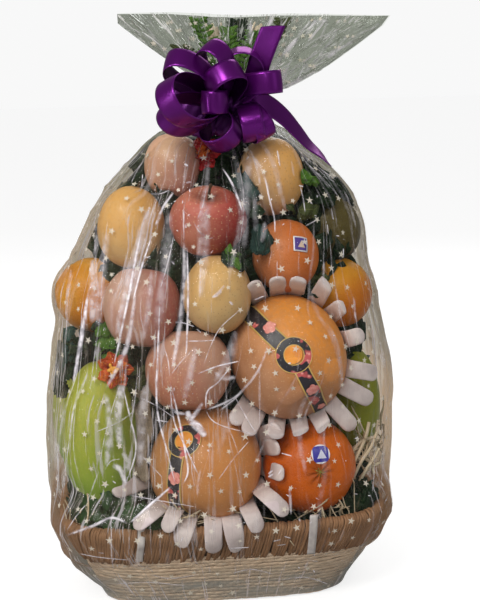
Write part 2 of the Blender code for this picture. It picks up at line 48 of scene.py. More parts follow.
# The basket's and the film's sizes, as in the solids
BASE_HALF_WIDTH, BASE_HALF_DEPTH = 0.118, 0.075
TUB_TOP_HALF_WIDTH, TUB_TOP_HALF_DEPTH = 0.1575, 0.1080
TUB_TOP, TUB_WALL, TUB_SQUARENESS = 0.081, 0.005, 4.0
BORDER_FOOT, BORDER_TOP, BORDER_THICKNESS = 0.050, 0.088, 0.0045
RIM_LEVEL = BORDER_TOP + 0.0005
BAG_STATIONS = (
    (RIM_LEVEL, 0.168, 0.002, 0.116), (0.15, 0.1735, 0.004, 0.112), (0.2, 0.173, 0.006, 0.11),
    (0.26, 0.166, 0.005, 0.106), (0.31, 0.157, 0.006, 0.099), (0.36, 0.141, 0.013, 0.088),
    (0.4, 0.1195, 0.015, 0.074), (0.435, 0.085, 0.013, 0.053), (0.455, 0.061, 0.014, 0.035),
    (0.4665, 0.028, 0.02, 0.019), (0.4735, 0.0155, 0.021, 0.015), (0.48, 0.015, 0.021, 0.0145),
    (0.489, 0.015, 0.021, 0.0145)
)
BAG_SQUARENESS = 2.5
NECK_TOP, NECK_PLEATS, NECK_PLEAT_SHARE, NECK_PLEATS_FROM = 0.4890, 8, 0.07, 0.415
FILM_SLACK, FILM_BLEND, FILM_AROUND = 0.0035, 0.0030, 330

# Each fruit: middle, half sizes, kind, the way its stalk points, and its skin
FRUIT = {
    "pear_lower": (
        (-0.018, -0.064, 0.136), (0.054, 0.054, 0.0555), "pear", (0.25, 0.6, 0.75), "tan_orange"
    ),
    "orange_big": (
        (0.083, -0.066, 0.13), (0.045, 0.045, 0.046), "citrus", (0.1, -0.98, 0.12), "orange_bright"
    ),
    "mango_left": (
        (-0.118, -0.056, 0.167), (0.037, 0.036, 0.074), "mango", (0.08, 0.05, 1.0), "mango_green"
    ),
    "mango_right": ((0.134, -0.02, 0.182), (0.029, 0.034, 0.054), "mango", (-0.1, 0.0, 1.0), "mango_dark"),
    "pear_upper": ((0.065, -0.064, 0.239), (0.055, 0.054, 0.057), "pear", (-0.35, 0.62, 0.7), "tan_gold"),
    "apple_low": ((-0.032, -0.07, 0.232), (0.041, 0.04, 0.0365), "apple", (0.1, 0.35, 0.93), "apple_brown"),
    "apple_left": (
        (-0.074, -0.06, 0.293), (0.0365, 0.036, 0.036), "apple", (0.15, 0.3, 0.94), "apple_rose"
    ),
    "pear_small": (
        (-0.002, -0.07, 0.304), (0.0325, 0.033, 0.037), "mango", (0.3, 0.1, 0.95), "pear_yellow"
    ),
    "orange_left": ((-0.12, -0.006, 0.298), (0.036, 0.036, 0.036), "citrus", (-0.5, 0.3, 0.8), "amber"),
    "orange_middle": (
        (0.066, -0.052, 0.335), (0.032, 0.033, 0.0345), "citrus", (0.2, 0.4, 0.9), "orange_deep"
    ),
    "orange_right": (
        (0.122, -0.016, 0.291), (0.035, 0.035, 0.035), "citrus", (-0.62, -0.55, 0.55), "amber"
    ),
    "avocado": ((0.1155, -0.002, 0.353), (0.0325, 0.031, 0.0355), "mango", (-0.3, 0.0, 0.95), "olive_dark"),
    "apple_red": (
        (-0.008, -0.056, 0.372), (0.037, 0.035, 0.0305), "apple", (0.02, -0.42, 0.9), "apple_red"
    ),
    "pear_left": ((-0.08, -0.04, 0.367), (0.032, 0.032, 0.039), "mango", (0.25, 0.2, 0.94), "pear_gold"),
    "pear_top": ((0.055, -0.036, 0.411), (0.0325, 0.032, 0.037), "mango", (0.1, 0.3, 0.95), "pear_tan"),
    "apple_top": ((-0.038, -0.03, 0.424), (0.0275, 0.027, 0.028), "apple", (0.2, 0.35, 0.92), "apple_pale"),
    "back_pear": ((0.062, 0.06, 0.15), (0.054, 0.054, 0.055), "pear", (0.2, 0.75, 0.62), "tan_gold"),
    "back_apple_low": (
        (-0.048, 0.068, 0.143), (0.043, 0.041, 0.039), "apple", (0.0, 0.5, 0.86), "apple_red"
    ),
    "back_mango": ((-0.1315, 0.03, 0.172), (0.034, 0.034, 0.068), "mango", (0.05, 0.0, 1.0), "mango_green"),
    "back_apple_middle": (
        (0.0, 0.062, 0.232), (0.044, 0.043, 0.041), "apple", (0.1, 0.3, 0.95), "apple_rose"
    ),
    "back_orange": (
        (-0.08, 0.056, 0.25), (0.038, 0.038, 0.038), "citrus", (-0.3, 0.75, 0.6), "orange_deep"
    ),
    "back_pear_small": (
        (0.084, 0.05, 0.26), (0.037, 0.037, 0.041), "mango", (0.2, 0.2, 0.95), "pear_yellow"
    ),
    "back_apple_high": (
        (-0.03, 0.05, 0.318), (0.038, 0.037, 0.035), "apple", (0.1, 0.4, 0.9), "apple_brown"
    ),
    "back_orange_high": (
        (0.048, 0.046, 0.334), (0.035, 0.035, 0.035), "citrus", (0.3, 0.6, 0.7), "orange_bright"
    ),
    "back_pear_high": ((0.006, 0.034, 0.394), (0.033, 0.032, 0.037), "mango", (0.0, 0.3, 0.95), "pear_gold")
}

# Film above the tie, and the ribbon
FAN_ROOT = (0.021, 0.4835)
FAN_CUT_HEIGHT, FAN_FIRST_ANGLE, FAN_LAST_ANGLE = 0.5640, 26.3, 144.0
FAN_PLEATS, FAN_SAG_RIGHT, FAN_SAG_LEFT = 7, 0.0145, 0.0085
FAN_SPREAD_FRONT, FAN_SPREAD_BACK, FAN_PLEAT_DEPTH = 0.026, 0.040, 0.0055
FAN_SIDE_GAP, FAN_ROOT_BULGE, FAN_FOOT_GAP = 0.0040, 0.0040, 0.0006
FAN_CUT_WAVE, FAN_CUT_WAVES, FAN_GRID = 0.0012, 9.0, (281, 41)
KNOT, KNOT_RADII = (0.018, -0.0385, 0.4815), (0.0190, 0.0226, 0.0150)
RIBBON_WIDTH, RIBBON_THICKNESS = 0.0210, 0.0007
TIE_RADIUS = 0.0175
KNOT_ROWS, KNOT_AROUND, TIE_AROUND, TIE_SECTION = 23, 60, 90, 12
LOOP_ROOT, LOOP_END_SHARE, LOOP_WIDEST = (0.0150, -0.0500, 0.4800), 0.03, 0.77
LOOPS = {
    "left_large": (-0.002, 0.002, 0.1, 0.045, 172, 52, 28),
    "left_under": (-0.004, -0.001, 0.078, 0.034, 187, 40, 26),
    "upper_left": (0.0, 0.002, 0.076, 0.034, 143, 22, -48),
    "upper_middle": (-0.005, 0.002, 0.064, 0.031, 103, 30, -44),
    "centre_upper": (-0.006, 0.002, 0.056, 0.035, 87, 56, 22),
    "upper_right": (0.003, 0.003, 0.052, 0.037, 71, 18, 0),
    "right": (0.004, 0.017, 0.048, 0.028, 6, 24, 86),
    "centre_front": (-0.007, 0.005, 0.046, 0.023, 182, 74, 88),
    "lower_middle": (-0.008, -0.002, 0.044, 0.035, 266, 40, 34),
    "lower_right": (0.016, 0.001, 0.041, 0.032, 279, 46, 92),
    "lower_right_back": (0.012, 0.0, 0.042, 0.026, 306, 34, 72)
}
UP_TAIL = ((0.02, -0.05, 0.484), (0.0373, -0.055, 0.4984), (0.0458, -0.061, 0.5236), (0.0596, -0.06, 0.556))
SHOULDER_TAIL = (
    (0.022, -0.048, 0.486), (0.0382, -0.045, 0.4851), (0.0542, -0.038, 0.4788), (0.0695, -0.03, 0.4676),
    (0.0837, -0.024, 0.4525), (0.0955, -0.0205, 0.4392), (0.107, -0.0185, 0.4292), (0.1165, -0.017, 0.419)
)


TAU = 2 * math.pi
FRONTWARD = np.array([0.0, -1.0, 0.0])


def tone(red, green, blue):
    """A colour as the eye reads it, 0 to 255, as the light it sends back."""
    shares = (red / 255, green / 255, blue / 255)
    return tuple(v / 12.92 if v <= 0.04045 else ((v + 0.055) / 1.055) ** 2.4 for v in shares)


def tones(*colours):
    return [tone(*colour) for colour in colours]


# Camera


def camera_axes():
    level = math.cos(ELEVATION)
    back = Vector((math.sin(AZIMUTH) * level, -math.cos(AZIMUTH) * level, math.sin(ELEVATION)))
    right = (-back).cross(Vector((0, 0, 1))).normalized()
    up = right.cross(-back)
    across = right * math.cos(ROLL) - up * math.sin(ROLL)
    upward = right * math.sin(ROLL) + up * math.cos(ROLL)
    return across, upward, back


ACROSS, UPWARD, BACK = camera_axes()
CAMERA_PLACE = TARGET + BACK * DISTANCE


def make_camera():
    lens = bpy.data.cameras.new("photo_camera")
    lens.lens = LENS
    lens.sensor_fit = "VERTICAL"
    lens.sensor_height = 36.0
    camera = bpy.data.objects.new("photo_camera", lens)
    turned = Matrix((ACROSS, UPWARD, BACK)).transposed().to_4x4()
    turned.translation = CAMERA_PLACE
    camera.matrix_world = turned
    bpy.context.scene.collection.objects.link(camera)
    bpy.context.scene.camera = camera


def ray_through(across, down):
    right, up = across - PHOTO_MIDDLE[0], PHOTO_MIDDLE[1] - down
    return ACROSS * right + UPWARD * up - BACK * FOCAL_PIXELS


def at_pixel(across, down, depth):
    """The point that the photograph shows at a pixel, on the plane at that depth in y."""
    ray = ray_through(across, down)
    return np.array(CAMERA_PLACE + ray * ((depth - CAMERA_PLACE.y) / ray.y))


# Mesh helpers


def drift(points, size, seed):
    """Smooth random values from 0 to 1 that change over the given size."""
    grid = np.random.default_rng(seed).random((24, 24, 24))
    place = np.asarray(points) / np.asarray(size)
    cell = np.floor(place).astype(int)
    part = place - cell
    part = part * part * (3 - 2 * part)
    total = np.zeros(place.shape[:-1])
    for corner in np.ndindex(2, 2, 2):
        spot = (cell + np.array(corner)) % 24
        weight = np.prod(np.where(np.array(corner) == 1, part, 1 - part), axis=-1)
        total += weight * grid[spot[..., 0], spot[..., 1], spot[..., 2]]
    return total


def crease(points, size, seed, sharpness=1.0):
    """Sharp ridges, 1 on the ridge line and falling to 0, at the given size."""
    return (1 - np.abs(2 * drift(points, size, seed) - 1)) ** sharpness


def unit(vectors):
    vectors = np.asarray(vectors, float)
    return vectors / np.maximum(np.linalg.norm(vectors, axis=-1, keepdims=True), 1e-12)


def net(rows, across, ring=True, loop=False):
    """Quads between the points of a grid; ring closes each row, loop closes the last row on the first."""
    r = np.arange(rows if loop else rows - 1)[:, None]
    c = np.arange(across if ring else across - 1)[None, :]
    above, beside = (r + 1) % rows, (c + 1) % across
    quads = (r * across + c, r * across + beside, above * across + beside, above * across + c)
    return np.stack(np.broadcast_arrays(*quads), -1).reshape(-1, 4)


def circle(count):
    """Angles an even step apart all the way round."""
    return np.linspace(0, TAU, count, endpoint=False)


def grid_uv(down, across):
    """A grid's own map: across for its columns, down for its rows."""
    v, u = np.meshgrid(down, across, indexing="ij")
    return np.stack([u, v], -1)


def shell(rows, across, outward=True):
    """A tube's faces between its rings, and a face to close each end."""
    around = [tuple(f if outward else f[::-1]) for f in net(rows, across)]
    first, last = tuple(range(across)), tuple(range((rows - 1) * across, rows * across))
    return around + ([first[::-1], last] if outward else [first, last[::-1]])


class Heap:
    """Several shapes gathered into one piece."""

    def __init__(self):
        self.points, self.faces, self.uv, self.shade, self.count = [], [], [], [], 0

    def add(self, points, faces, uv=None, shade=0.5):
        points = np.asarray(points, float).reshape(-1, 3)
        self.points.append(points)
        self.faces += [tuple(int(v) + self.count for v in face) for face in faces]
        self.uv.append(np.zeros((len(points), 2)) if uv is None else np.asarray(uv, float).reshape(-1, 2))
        self.shade.append(np.broadcast_to(np.asarray(shade, float), len(points)))
        self.count += len(points)

    def held_in(self):
        self.points = [inside_film(np.concatenate(self.points))]
        return self

    def made(self, name, *finishes, smooth=True):
        mesh = bpy.data.meshes.new(name)
        mesh.from_pydata(np.concatenate(self.points).tolist(), [], self.faces)
        corners = np.zeros(len(mesh.loops), int)
        mesh.loops.foreach_get("vertex_index", corners)
        layer = mesh.uv_layers.new(name="UVMap")
        layer.data.foreach_set("uv", np.concatenate(self.uv)[corners].ravel())
        mark = mesh.attributes.new("shade", "FLOAT", "POINT")
        mark.data.foreach_set("value", np.concatenate(self.shade))
        for finish in finishes:
            mesh.materials.append(finish)
        if smooth:
            mesh.shade_smooth()
        made = bpy.data.objects.new(name, mesh)
        bpy.context.scene.collection.objects.link(made)
        return made


def thin(grid, thickness):
    """A thin closed sheet over a grid of points, half its thickness to each side."""
    grid = np.asarray(grid, float)
    rows, across = grid.shape[:2]
    lift = unit(np.cross(np.gradient(grid, axis=1), np.gradient(grid, axis=0))) * thickness / 2
    faces, under = net(rows, across, ring=False), rows * across
    numbers = np.arange(under).reshape(rows, across)
    edge = [*numbers[0], *numbers[1:, -1], *numbers[-1, -2::-1], *numbers[-2:0:-1, 0]]
    sides = [(q, p, under + p, under + q) for p, q in zip(edge, edge[1:] + edge[:1])]
    uv = grid_uv(np.linspace(0, 1, rows), np.linspace(0, 1, across))
    faces = [tuple(f) for f in faces] + [tuple(under + f[::-1]) for f in faces] + sides
    return np.stack([grid + lift, grid - lift]).reshape(-1, 3), faces, np.stack([uv, uv]).reshape(-1, 2)


def tube(path, radius, around=8, flat=1.0, level=(0.0, 0.0, 1.0)):
    """A closed tube along a path; flat is its second half size as a share of the first."""
    path = np.asarray(path, float)
    along = unit(np.gradient(path, axis=0))
    side = unit(np.cross(along, np.asarray(level, float)))
    over = np.cross(side, along)
    turn, radius = circle(around), np.broadcast_to(np.asarray(radius, float), len(path))[:, None]
    rings = path[:, None] + side[:, None] * (np.cos(turn) * radius)[..., None]
    rings = rings + over[:, None] * (np.sin(turn) * radius * flat)[..., None]
    uv = grid_uv(np.linspace(0, 1, len(path)), np.linspace(0, 1, around))
    return rings.reshape(-1, 3), shell(len(path), around, False), uv.reshape(-1, 2)


def between_knots(a, b, start, end, t):
    """The curve from a to b that leaves and arrives with the given slopes, at the share t."""
    near, far = 2 * t**3 - 3 * t**2 + 1, -2 * t**3 + 3 * t**2
    return near * a + (t**3 - 2 * t**2 + t) * start + far * b + (t**3 - t**2) * end


def smooth_through(stations, column, height):
    """A value read from the stations' curve, which passes each station without a corner."""
    levels, values = [row[0] for row in stations], [row[column] for row in stations]
    if height <= levels[0]:
        return values[0]
    if height >= levels[-1]:
        return values[-1]
    k = max(i for i in range(len(levels) - 1) if levels[i] <= height)
    span = levels[k + 1] - levels[k]

    def slope(i):
        low, high = max(i - 1, 0), min(i + 1, len(levels) - 1)
        return (values[high] - values[low]) / (levels[high] - levels[low])

    return between_knots(
        values[k], values[k + 1], span * slope(k), span * slope(k + 1), (height - levels[k]) / span
    )


def smooth_path(points, steps):
    """Points along a curve that passes through the given ones."""
    knots, path = np.asarray(points, float), []
    last = len(knots) - 1
    for place in np.arange(steps + 1) / steps * last:
        k = min(int(place), last - 1)
        a, b = knots[k], knots[k + 1]
        start, end = (b - knots[max(k - 1, 0)]) / 2, (knots[min(k + 2, last)] - a) / 2
        path.append(between_knots(a, b, start, end, place - k))
    return np.array(path)


def ease(value):
    value = np.clip(value, 0.0, 1.0)
    return value * value * (3 - 2 * value)


# How far the film stands out


def ring_at(width, depth, squareness, turn):
    power = 2.0 / squareness
    c, s = np.cos(turn), np.sin(turn)
    return width * np.sign(c) * np.abs(c) ** power, depth * np.sign(s) * np.abs(s) ** power


# The loose film hangs a little off the even form: height, then how far the left and the right side move
HANG = np.array(
    (
        (0.0, 0.0, 0.0), (0.012, 0.0, 0.0), (0.024, -0.007, 0.002), (0.036, -0.014, 0.005),
        (0.048, -0.013, 0.006), (0.061, -0.008, 0.006), (0.074, -0.007, 0.005), (0.087, -0.0055, 0.005),
        (0.1, -0.004, 0.003), (0.125, -0.004, 0.0), (0.155, -0.0025, -0.001), (0.18, -0.0015, -0.002),
        (0.205, -0.001, -0.0005), (0.231, 0.001, 0.0), (0.256, 0.0015, -0.002), (0.28, 0.002, -0.004),
        (0.305, 0.001, -0.0045), (0.33, 0.0005, -0.0065), (0.354, 0.0005, -0.0055),
        (0.375, -0.0005, -0.0025), (0.391, 0.0005, -0.0005), (0.44, 0.0, 0.0), (0.5, 0.0, 0.0)
    )
)
LEVELS = np.linspace(RIM_LEVEL, NECK_TOP, 240)
SIZES = np.array(
    [[smooth_through(BAG_STATIONS, column, level) for column in (1, 2, 3)] for level in LEVELS]
)
HANG_LEFT, HANG_RIGHT = (np.interp(LEVELS, HANG[:, 0], HANG[:, side]) for side in (1, 2))
SIZES[:, 0] += (HANG_RIGHT - HANG_LEFT) / 2
SIZES[:, 1] += (HANG_RIGHT + HANG_LEFT) / 2


def bag_sizes(height):
    """The bag's half width, middle and half depth at a height."""
    return [np.interp(height, LEVELS, SIZES[:, column]) for column in range(3)]


def film_reach(x, y, z):
    """How far the film, pushed out by fruit, lies from the bag's middle, and how far each point does."""
    half_width, middle, half_depth = bag_sizes(z)
    away = np.maximum(np.hypot(x - middle, y), 1e-9)
    hx, hy = (x - middle) / away, y / away
    squared = np.abs(hx / half_width) ** BAG_SQUARENESS + np.abs(hy / half_depth) ** BAG_SQUARENESS
    stretched = squared ** (-1 / BAG_SQUARENESS)
    total = np.ones_like(stretched)
    for place, radii, *_ in FRUIT.values():
        rx, ry, rz = (r + FILM_SLACK for r in radii)
        sx, sy, sz = (middle - place[0]) / rx, -place[1] / ry, (z - place[2]) / rz
        a = (hx / rx) ** 2 + (hy / ry) ** 2
        b = sx * hx / rx + sy * hy / ry
        room = b * b - a * (sx * sx + sy * sy + sz * sz - 1.0)
        reach = (-b + np.sqrt(np.maximum(room, 0))) / a
        total += np.where(room > 0, np.exp(np.minimum((reach - stretched) / FILM_BLEND, 60.0)), 0.0)
    return stretched + FILM_BLEND * np.log(total), away, hx, hy, middle


def inside_film(points, gap=0.0035):
    """Points that would poke through the film are drawn in to it."""
    points = np.array(points, float)
    reach, away, hx, hy, middle = film_reach(
        points[:, 0], points[:, 1], np.clip(points[:, 2], RIM_LEVEL, NECK_TOP)
    )
    held = np.minimum(away, reach - gap)
    points[:, 0], points[:, 1] = middle + hx * held, hy * held
    return points


# Shader helpers


def put(tree, kind, inputs=None, **settings):
    """A node, with its inputs set or linked; a shader node is named without its prefix."""
    node = tree.nodes.new(kind if "Node" in kind else "ShaderNode" + kind)
    for key, value in settings.items():
        setattr(node, key, value)
    return set_inputs(tree, node, inputs or {})


def set_inputs(tree, node, inputs):
    for key, value in inputs.items():
        socket = node.inputs[key]
        if isinstance(value, Value):
            tree.links.new(value.socket, socket)
        else:
            socket.default_value = (*value[:3], 1.0) if socket.type == "RGBA" else value
    return node


class Value:
    """What a socket gives; arithmetic and the calls below add the nodes that work on it."""

    def __init__(self, tree, socket):
        self.tree, self.socket = tree, socket

    def made(self, kind, inputs, give=0, **settings):
        return Value(self.tree, put(self.tree, kind, inputs, **settings).outputs[give])

    def calc(self, operation, *others):
        return self.made("Math", dict(enumerate((self, *others))), operation=operation)

    def __add__(self, other):
        return self.calc("ADD", other)

    def __sub__(self, other):
        return self.calc("SUBTRACT", other)

    def __rsub__(self, other):
        return self.made("Math", {0: other, 1: self}, operation="SUBTRACT")

    def __mul__(self, other):
        return self.calc("MULTIPLY", other)

    def __abs__(self):
        return self.calc("ABSOLUTE")

    def largest(self, other):
        return self.calc("MAXIMUM", other)

    def clamped(self):
        self.socket.node.use_clamp = True
        return self

    def ramp(self, low, high, to_low=0.0, to_high=1.0):
        """A smooth step from one value to another between two levels."""
        steps = {0: self, 1: low, 2: high, 3: to_low, 4: to_high}
        return self.made("MapRange", steps, interpolation_type="SMOOTHSTEP")

    def blend(self, first, second):
        """The first colour where this value is 0 and the second where it is 1."""
        return self.made("Mix", {0: self, 6: first, 7: second}, 2, data_type="RGBA")

    def mix(self, first, second):
        """The first shader where this value is 0 and the second where it is 1."""
        return self.made("MixShader", {0: self, 1: first, 2: second})

    def vector(self, operation, *others, give=0):
        return self.made("VectorMath", dict(enumerate((self, *others))), give, operation=operation)

    def scaled(self, factor):
        return self.made("VectorMath", {0: self, 3: factor}, operation="SCALE")

    def noise(self, scale, detail=2.0, give=0):
        return self.made("TexNoise", {"Vector": self, "Scale": scale, "Detail": detail}, give)

    def cells(self, scale, feature="F1", **inputs):
        """The distance in a pattern of cells: to the cell's point, or to its edge."""
        return self.made(
            "TexVoronoi", {"Vector": self, "Scale": scale, **inputs}, "Distance", feature=feature
        )

    def parts(self):
        node = put(self.tree, "SeparateXYZ", {0: self})
        return [Value(self.tree, socket) for socket in node.outputs]

    def bump(self, strength, distance):
        return self.made("Bump", {"Height": self, "Strength": strength, "Distance": distance})


def given_by(tree, kind, give=0, inputs=None, **settings):
    """One output of a new node, as a value."""
    return Value(tree, put(tree, kind, inputs, **settings).outputs[give])


def coords(tree, kind="Object"):
    return given_by(tree, "TexCoord", kind)


def shade_of(tree):
    """The shade that each strand, leaf or petal carries; on the ribbon it marks the painted shade on its
    inner faces, knot and the lumps beside it.
    """
    return given_by(tree, "Attribute", "Fac", attribute_name="shade")


def joined(tree, x, y, z):
    return given_by(tree, "CombineXYZ", 0, {0: x, 1: y, 2: z})


def new_tree(name, kind, inputs, outputs):
    """An empty node tree with named sockets: the tree, what its inputs give, and its output node."""
    tree = bpy.data.node_groups.new(name, kind)
    for label, (sort, value) in inputs.items():
        socket = tree.interface.new_socket(name=label, in_out="INPUT", socket_type="NodeSocket" + sort)
        if value is not None:
            socket.default_value = value
    for label, sort in outputs.items():
        tree.interface.new_socket(name=label, in_out="OUTPUT", socket_type="NodeSocket" + sort)
    given, result = tree.nodes.new("NodeGroupInput"), tree.nodes.new("NodeGroupOutput")
    return tree, {socket.name: Value(tree, socket) for socket in given.outputs if socket.name}, result


def group(name, numbers, outputs):
    inputs = {label: ("Float", value) for label, value in numbers.items()}
    return new_tree(name, "ShaderNodeTree", inputs, dict.fromkeys(outputs, "Float"))


def mottle_group():
    """Cloudy variation: a soft and a fine value."""
    made, given, result = group("mottle", {"Scale": 40.0, "Contrast": 0.25}, ("Soft", "Fine"))
    place, low, high = coords(made), 0.5 - given["Contrast"], given["Contrast"] + 0.5
    soft = place.noise(given["Scale"], 3.0).ramp(low, high)
    fine = place.noise(given["Scale"] * 9.0).ramp(low, high)
    set_inputs(made, result, {"Soft": soft, "Fine": fine})
    return made


def pores_group():
    """Small round pores: their depth, and a mask of the pore's dot."""
    made, given, result = group("pores", {"Scale": 500.0, "Size": 0.25}, ("Dots", "Height"))
    distance = coords(made).cells(given["Scale"], Randomness=0.85)
    dots = distance.ramp(given["Size"], given["Size"] * 0.5)
    set_inputs(made, result, {"Dots": dots, "Height": distance.ramp(0.0, 0.5)})
    return made


def fibre_group():
    """Long fibres along a strand's own length, and dirt between them."""
    made, given, result = group("fibres", {"Count": 9.0, "Break": 3.0}, ("Fibre", "Stain"))
    across, along, _ = coords(made, "UV").parts()
    lie = joined(made, across * given["Count"], along * given["Break"], shade_of(made) * 37.0)
    stain = coords(made).noise(60.0, 3.0).ramp(0.35, 0.70)
    set_inputs(made, result, {"Fibre": lie.noise(1.0, 3.0).ramp(0.32, 0.68), "Stain": stain})
    return made


def crinkle_group():
    """Fine crinkles of thin film: height, and a mask of the fold lines where white highlights are painted."""
    numbers = {"Scale": 30.0, "Stretch": 0.25, "Line": 0.06}
    made, given, result = group("crinkle", numbers, ("Height", "Fold_highlight"))
    place = coords(made)
    shift = place.noise(14.0, 1.0, "Color").scaled(0.016)
    lie = place.vector("MULTIPLY", joined(made, 1.0, 1.0, given["Stretch"])).vector("ADD", shift)
    edge = lie.cells(given["Scale"], "DISTANCE_TO_EDGE").ramp(given["Line"], 0.0)
    # The fold-line mask: where the film is painted white as highlights
    fold = edge * place.noise(22.0).ramp(0.54, 0.72)
    set_inputs(made, result, {"Height": lie.cells(given["Scale"]) * 0.8 + edge, "Fold_highlight": fold})
    return made


def streak_group():
    """Long streaks that run toward the tie: around an upright axis, or out from a point as in a fan."""
    numbers = {"Centre X": 0.008, "Centre Z": 0.0, "Fan": 0.0, "Count": 24.0, "Drift": 4.0}
    made, given, result = group("streaks", numbers, ("Broad", "Fine"))
    place, centre = coords(made), joined(made, given["Centre X"], 0.0, given["Centre Z"])
    flat = place.vector("SUBTRACT", centre).vector("MULTIPLY", joined(made, 1.0, 1.0, given["Fan"]))
    wide = flat.vector("NORMALIZE").scaled(given["Count"])
    lie = wide.vector("ADD", place.scaled(given["Drift"]))
    for label, scale in (("Broad", 1.0), ("Fine", 4.2)):
        set_inputs(made, result, {label: lie.noise(scale).ramp(0.36, 0.66)})
    return made


GROUPS = {
    "mottle": mottle_group(), "pores": pores_group(), "fibres": fibre_group(), "crinkle": crinkle_group(),
    "streaks": streak_group()
}


def use(tree, name, **numbers):
    """What a group's outputs give, with its inputs set."""
    node = tree.nodes.new("ShaderNodeGroup")
    node.node_tree = GROUPS[name]
    set_inputs(tree, node, numbers)
    return {socket.name: Value(tree, socket) for socket in node.outputs}


def new_finish(name):
    made = bpy.data.materials.new(name)
    made.use_nodes = True
    tree = made.node_tree
    return made, tree, tree.nodes["Principled BSDF"]


def darker(colour, share):
    return tuple(share * v for v in colour)


def fruit_skin(name, middle, reach, ground, second, blush, blush_from, dots, pore, roughness):
    """A fruit's skin: two ground colours in clouds, a blush on one side, pale or dark dots and fine pores."""
    made, tree, shader = new_finish(name)
    clouds = use(tree, "mottle", Scale=28.0, Contrast=0.20)
    specks = use(tree, "pores", Scale=dots[0], Size=dots[1])
    pits = use(tree, "pores", Scale=pore[0], Size=0.25)
    way = tuple(unit(blush_from) / reach)
    side = coords(tree).vector("SUBTRACT", middle).vector("DOT_PRODUCT", way, give="Value").ramp(-0.35, 1.0)
    blushed = (side * (clouds["Fine"] * 0.30 + 0.75)).clamped()
    colour = blushed.blend(clouds["Soft"].blend(ground, second), blush)
    stem_end = coords(tree, "UV").parts()[1]
    colour = stem_end.ramp(0.16, 0.02, 0.0, 0.55).blend(colour, darker(ground, 0.30))
    colour = (specks["Dots"] * dots[2]).blend(colour, dots[3])
    rough = clouds["Soft"].ramp(0.0, 1.0, roughness - 0.05, roughness + 0.08)
    normal = (clouds["Fine"] * 0.35 + pits["Height"]).bump(pore[1], 0.0006)
    skin = {"Base Color": colour, "Roughness": rough, "Normal": normal, "Specular IOR Level": 0.22}
    set_inputs(tree, shader, skin)
    return made


# Each skin: ground colours, blush, where the blush lies, dots, pores and roughness
PALE, DARK, OLIVE = tones((224, 192, 146), (95, 60, 40), (110, 112, 62))
PEAR_DOTS, APPLE_DOTS, MANGO_DOTS = (330, 0.24, 0.35, PALE), (320, 0.26, 0.4, PALE), (380, 0.22, 0.3, PALE)
CITRUS_DOTS, GOLD_DOTS = (420, 0.2, 0.2, DARK), (300, 0.24, 0.3, DARK)
SKINS = {
    "tan_orange": (
        (190, 134, 90), (176, 118, 66), (208, 138, 78), (1, -0.4, 0.2), PEAR_DOTS, (650, 0.12), 0.42
    ),
    "tan_gold": (
        (186, 136, 104), (172, 120, 84), (222, 142, 58), (0.6, -0.3, 0.74), PEAR_DOTS, (650, 0.12), 0.42
    ),
    "orange_bright": (
        (190, 88, 18), (178, 76, 12), (206, 98, 12), (0.8, -0.5, 0.3), (420, 0.2, 0.25, DARK), (420, 0.45),
        0.36
    ),
    "orange_deep": (
        (194, 126, 84), (182, 108, 66), (202, 106, 40), (0.7, -0.4, 0.2), CITRUS_DOTS, (420, 0.4), 0.38
    ),
    "amber": (
        (210, 146, 38), (196, 126, 26), (194, 102, 20), (0.5, -0.3, -0.6), CITRUS_DOTS, (420, 0.35), 0.36
    ),
    "mango_green": (
        (132, 154, 50), (106, 138, 42), (162, 162, 56), (-0.5, -0.5, 0.6), MANGO_DOTS, (700, 0.08), 0.34
    ),
    "mango_dark": (
        (118, 126, 24), (92, 103, 20), (134, 136, 28), (0.6, -0.5, 0.3), (380, 0.22, 0.25, PALE),
        (700, 0.08), 0.36
    ),
    "pear_yellow": (
        (206, 175, 130), (190, 154, 104), (210, 166, 104), (-0.3, -0.4, 0.8), GOLD_DOTS, (700, 0.1), 0.38
    ),
    "pear_gold": (
        (207, 170, 120), (193, 150, 98), (213, 160, 90), (-0.2, -0.5, 0.7), GOLD_DOTS, (700, 0.1), 0.4
    ),
    "pear_tan": (
        (198, 160, 122), (184, 143, 103), (220, 162, 86), (0.9, -0.3, 0.3), (300, 0.26, 0.3, DARK),
        (700, 0.1), 0.4
    ),
    "apple_pale": (
        (202, 162, 132), (182, 132, 104), (178, 124, 112), (0.6, -0.4, -0.4), APPLE_DOTS, (700, 0.08), 0.36
    ),
    "apple_rose": (
        (196, 158, 140), (178, 130, 114), (166, 92, 86), (1, -0.2, 0), APPLE_DOTS, (700, 0.08), 0.36
    ),
    "apple_brown": (
        (198, 158, 136), (180, 132, 112), (174, 108, 86), (-0.5, -0.3, -0.5), APPLE_DOTS, (700, 0.08), 0.38
    ),
    "apple_red": (
        (192, 122, 100), (172, 94, 79), (154, 56, 52), (1, -0.3, -0.3), (320, 0.26, 0.45, PALE),
        (700, 0.08), 0.34
    ),
    "olive_dark": (
        (68, 56, 24), (54, 45, 20), (88, 76, 34), (0.3, -0.6, 0.6), (420, 0.26, 0.35, OLIVE), (380, 0.3),
        0.38
    )
}


def strand_finish(name, light, dark, gap):
    """Seagrass strand: fibres along it, stains, and each strand its own shade."""
    made, tree, shader = new_finish(name)
    fibres = use(tree, "fibres", Count=7.0, Break=2.5)
    colour = (fibres["Fibre"] * 0.45).blend(shade_of(tree).blend(dark, light), darker(dark, 0.55))
    colour = (fibres["Stain"] * 0.25).blend(colour, gap)
    rough, normal = fibres["Fibre"].ramp(0.0, 1.0, 0.55, 0.8), fibres["Fibre"].bump(0.5, 0.0005)
    strand = {"Base Color": colour, "Roughness": rough, "Normal": normal, "Specular IOR Level": 0.3}
    set_inputs(tree, shader, strand)
    return made


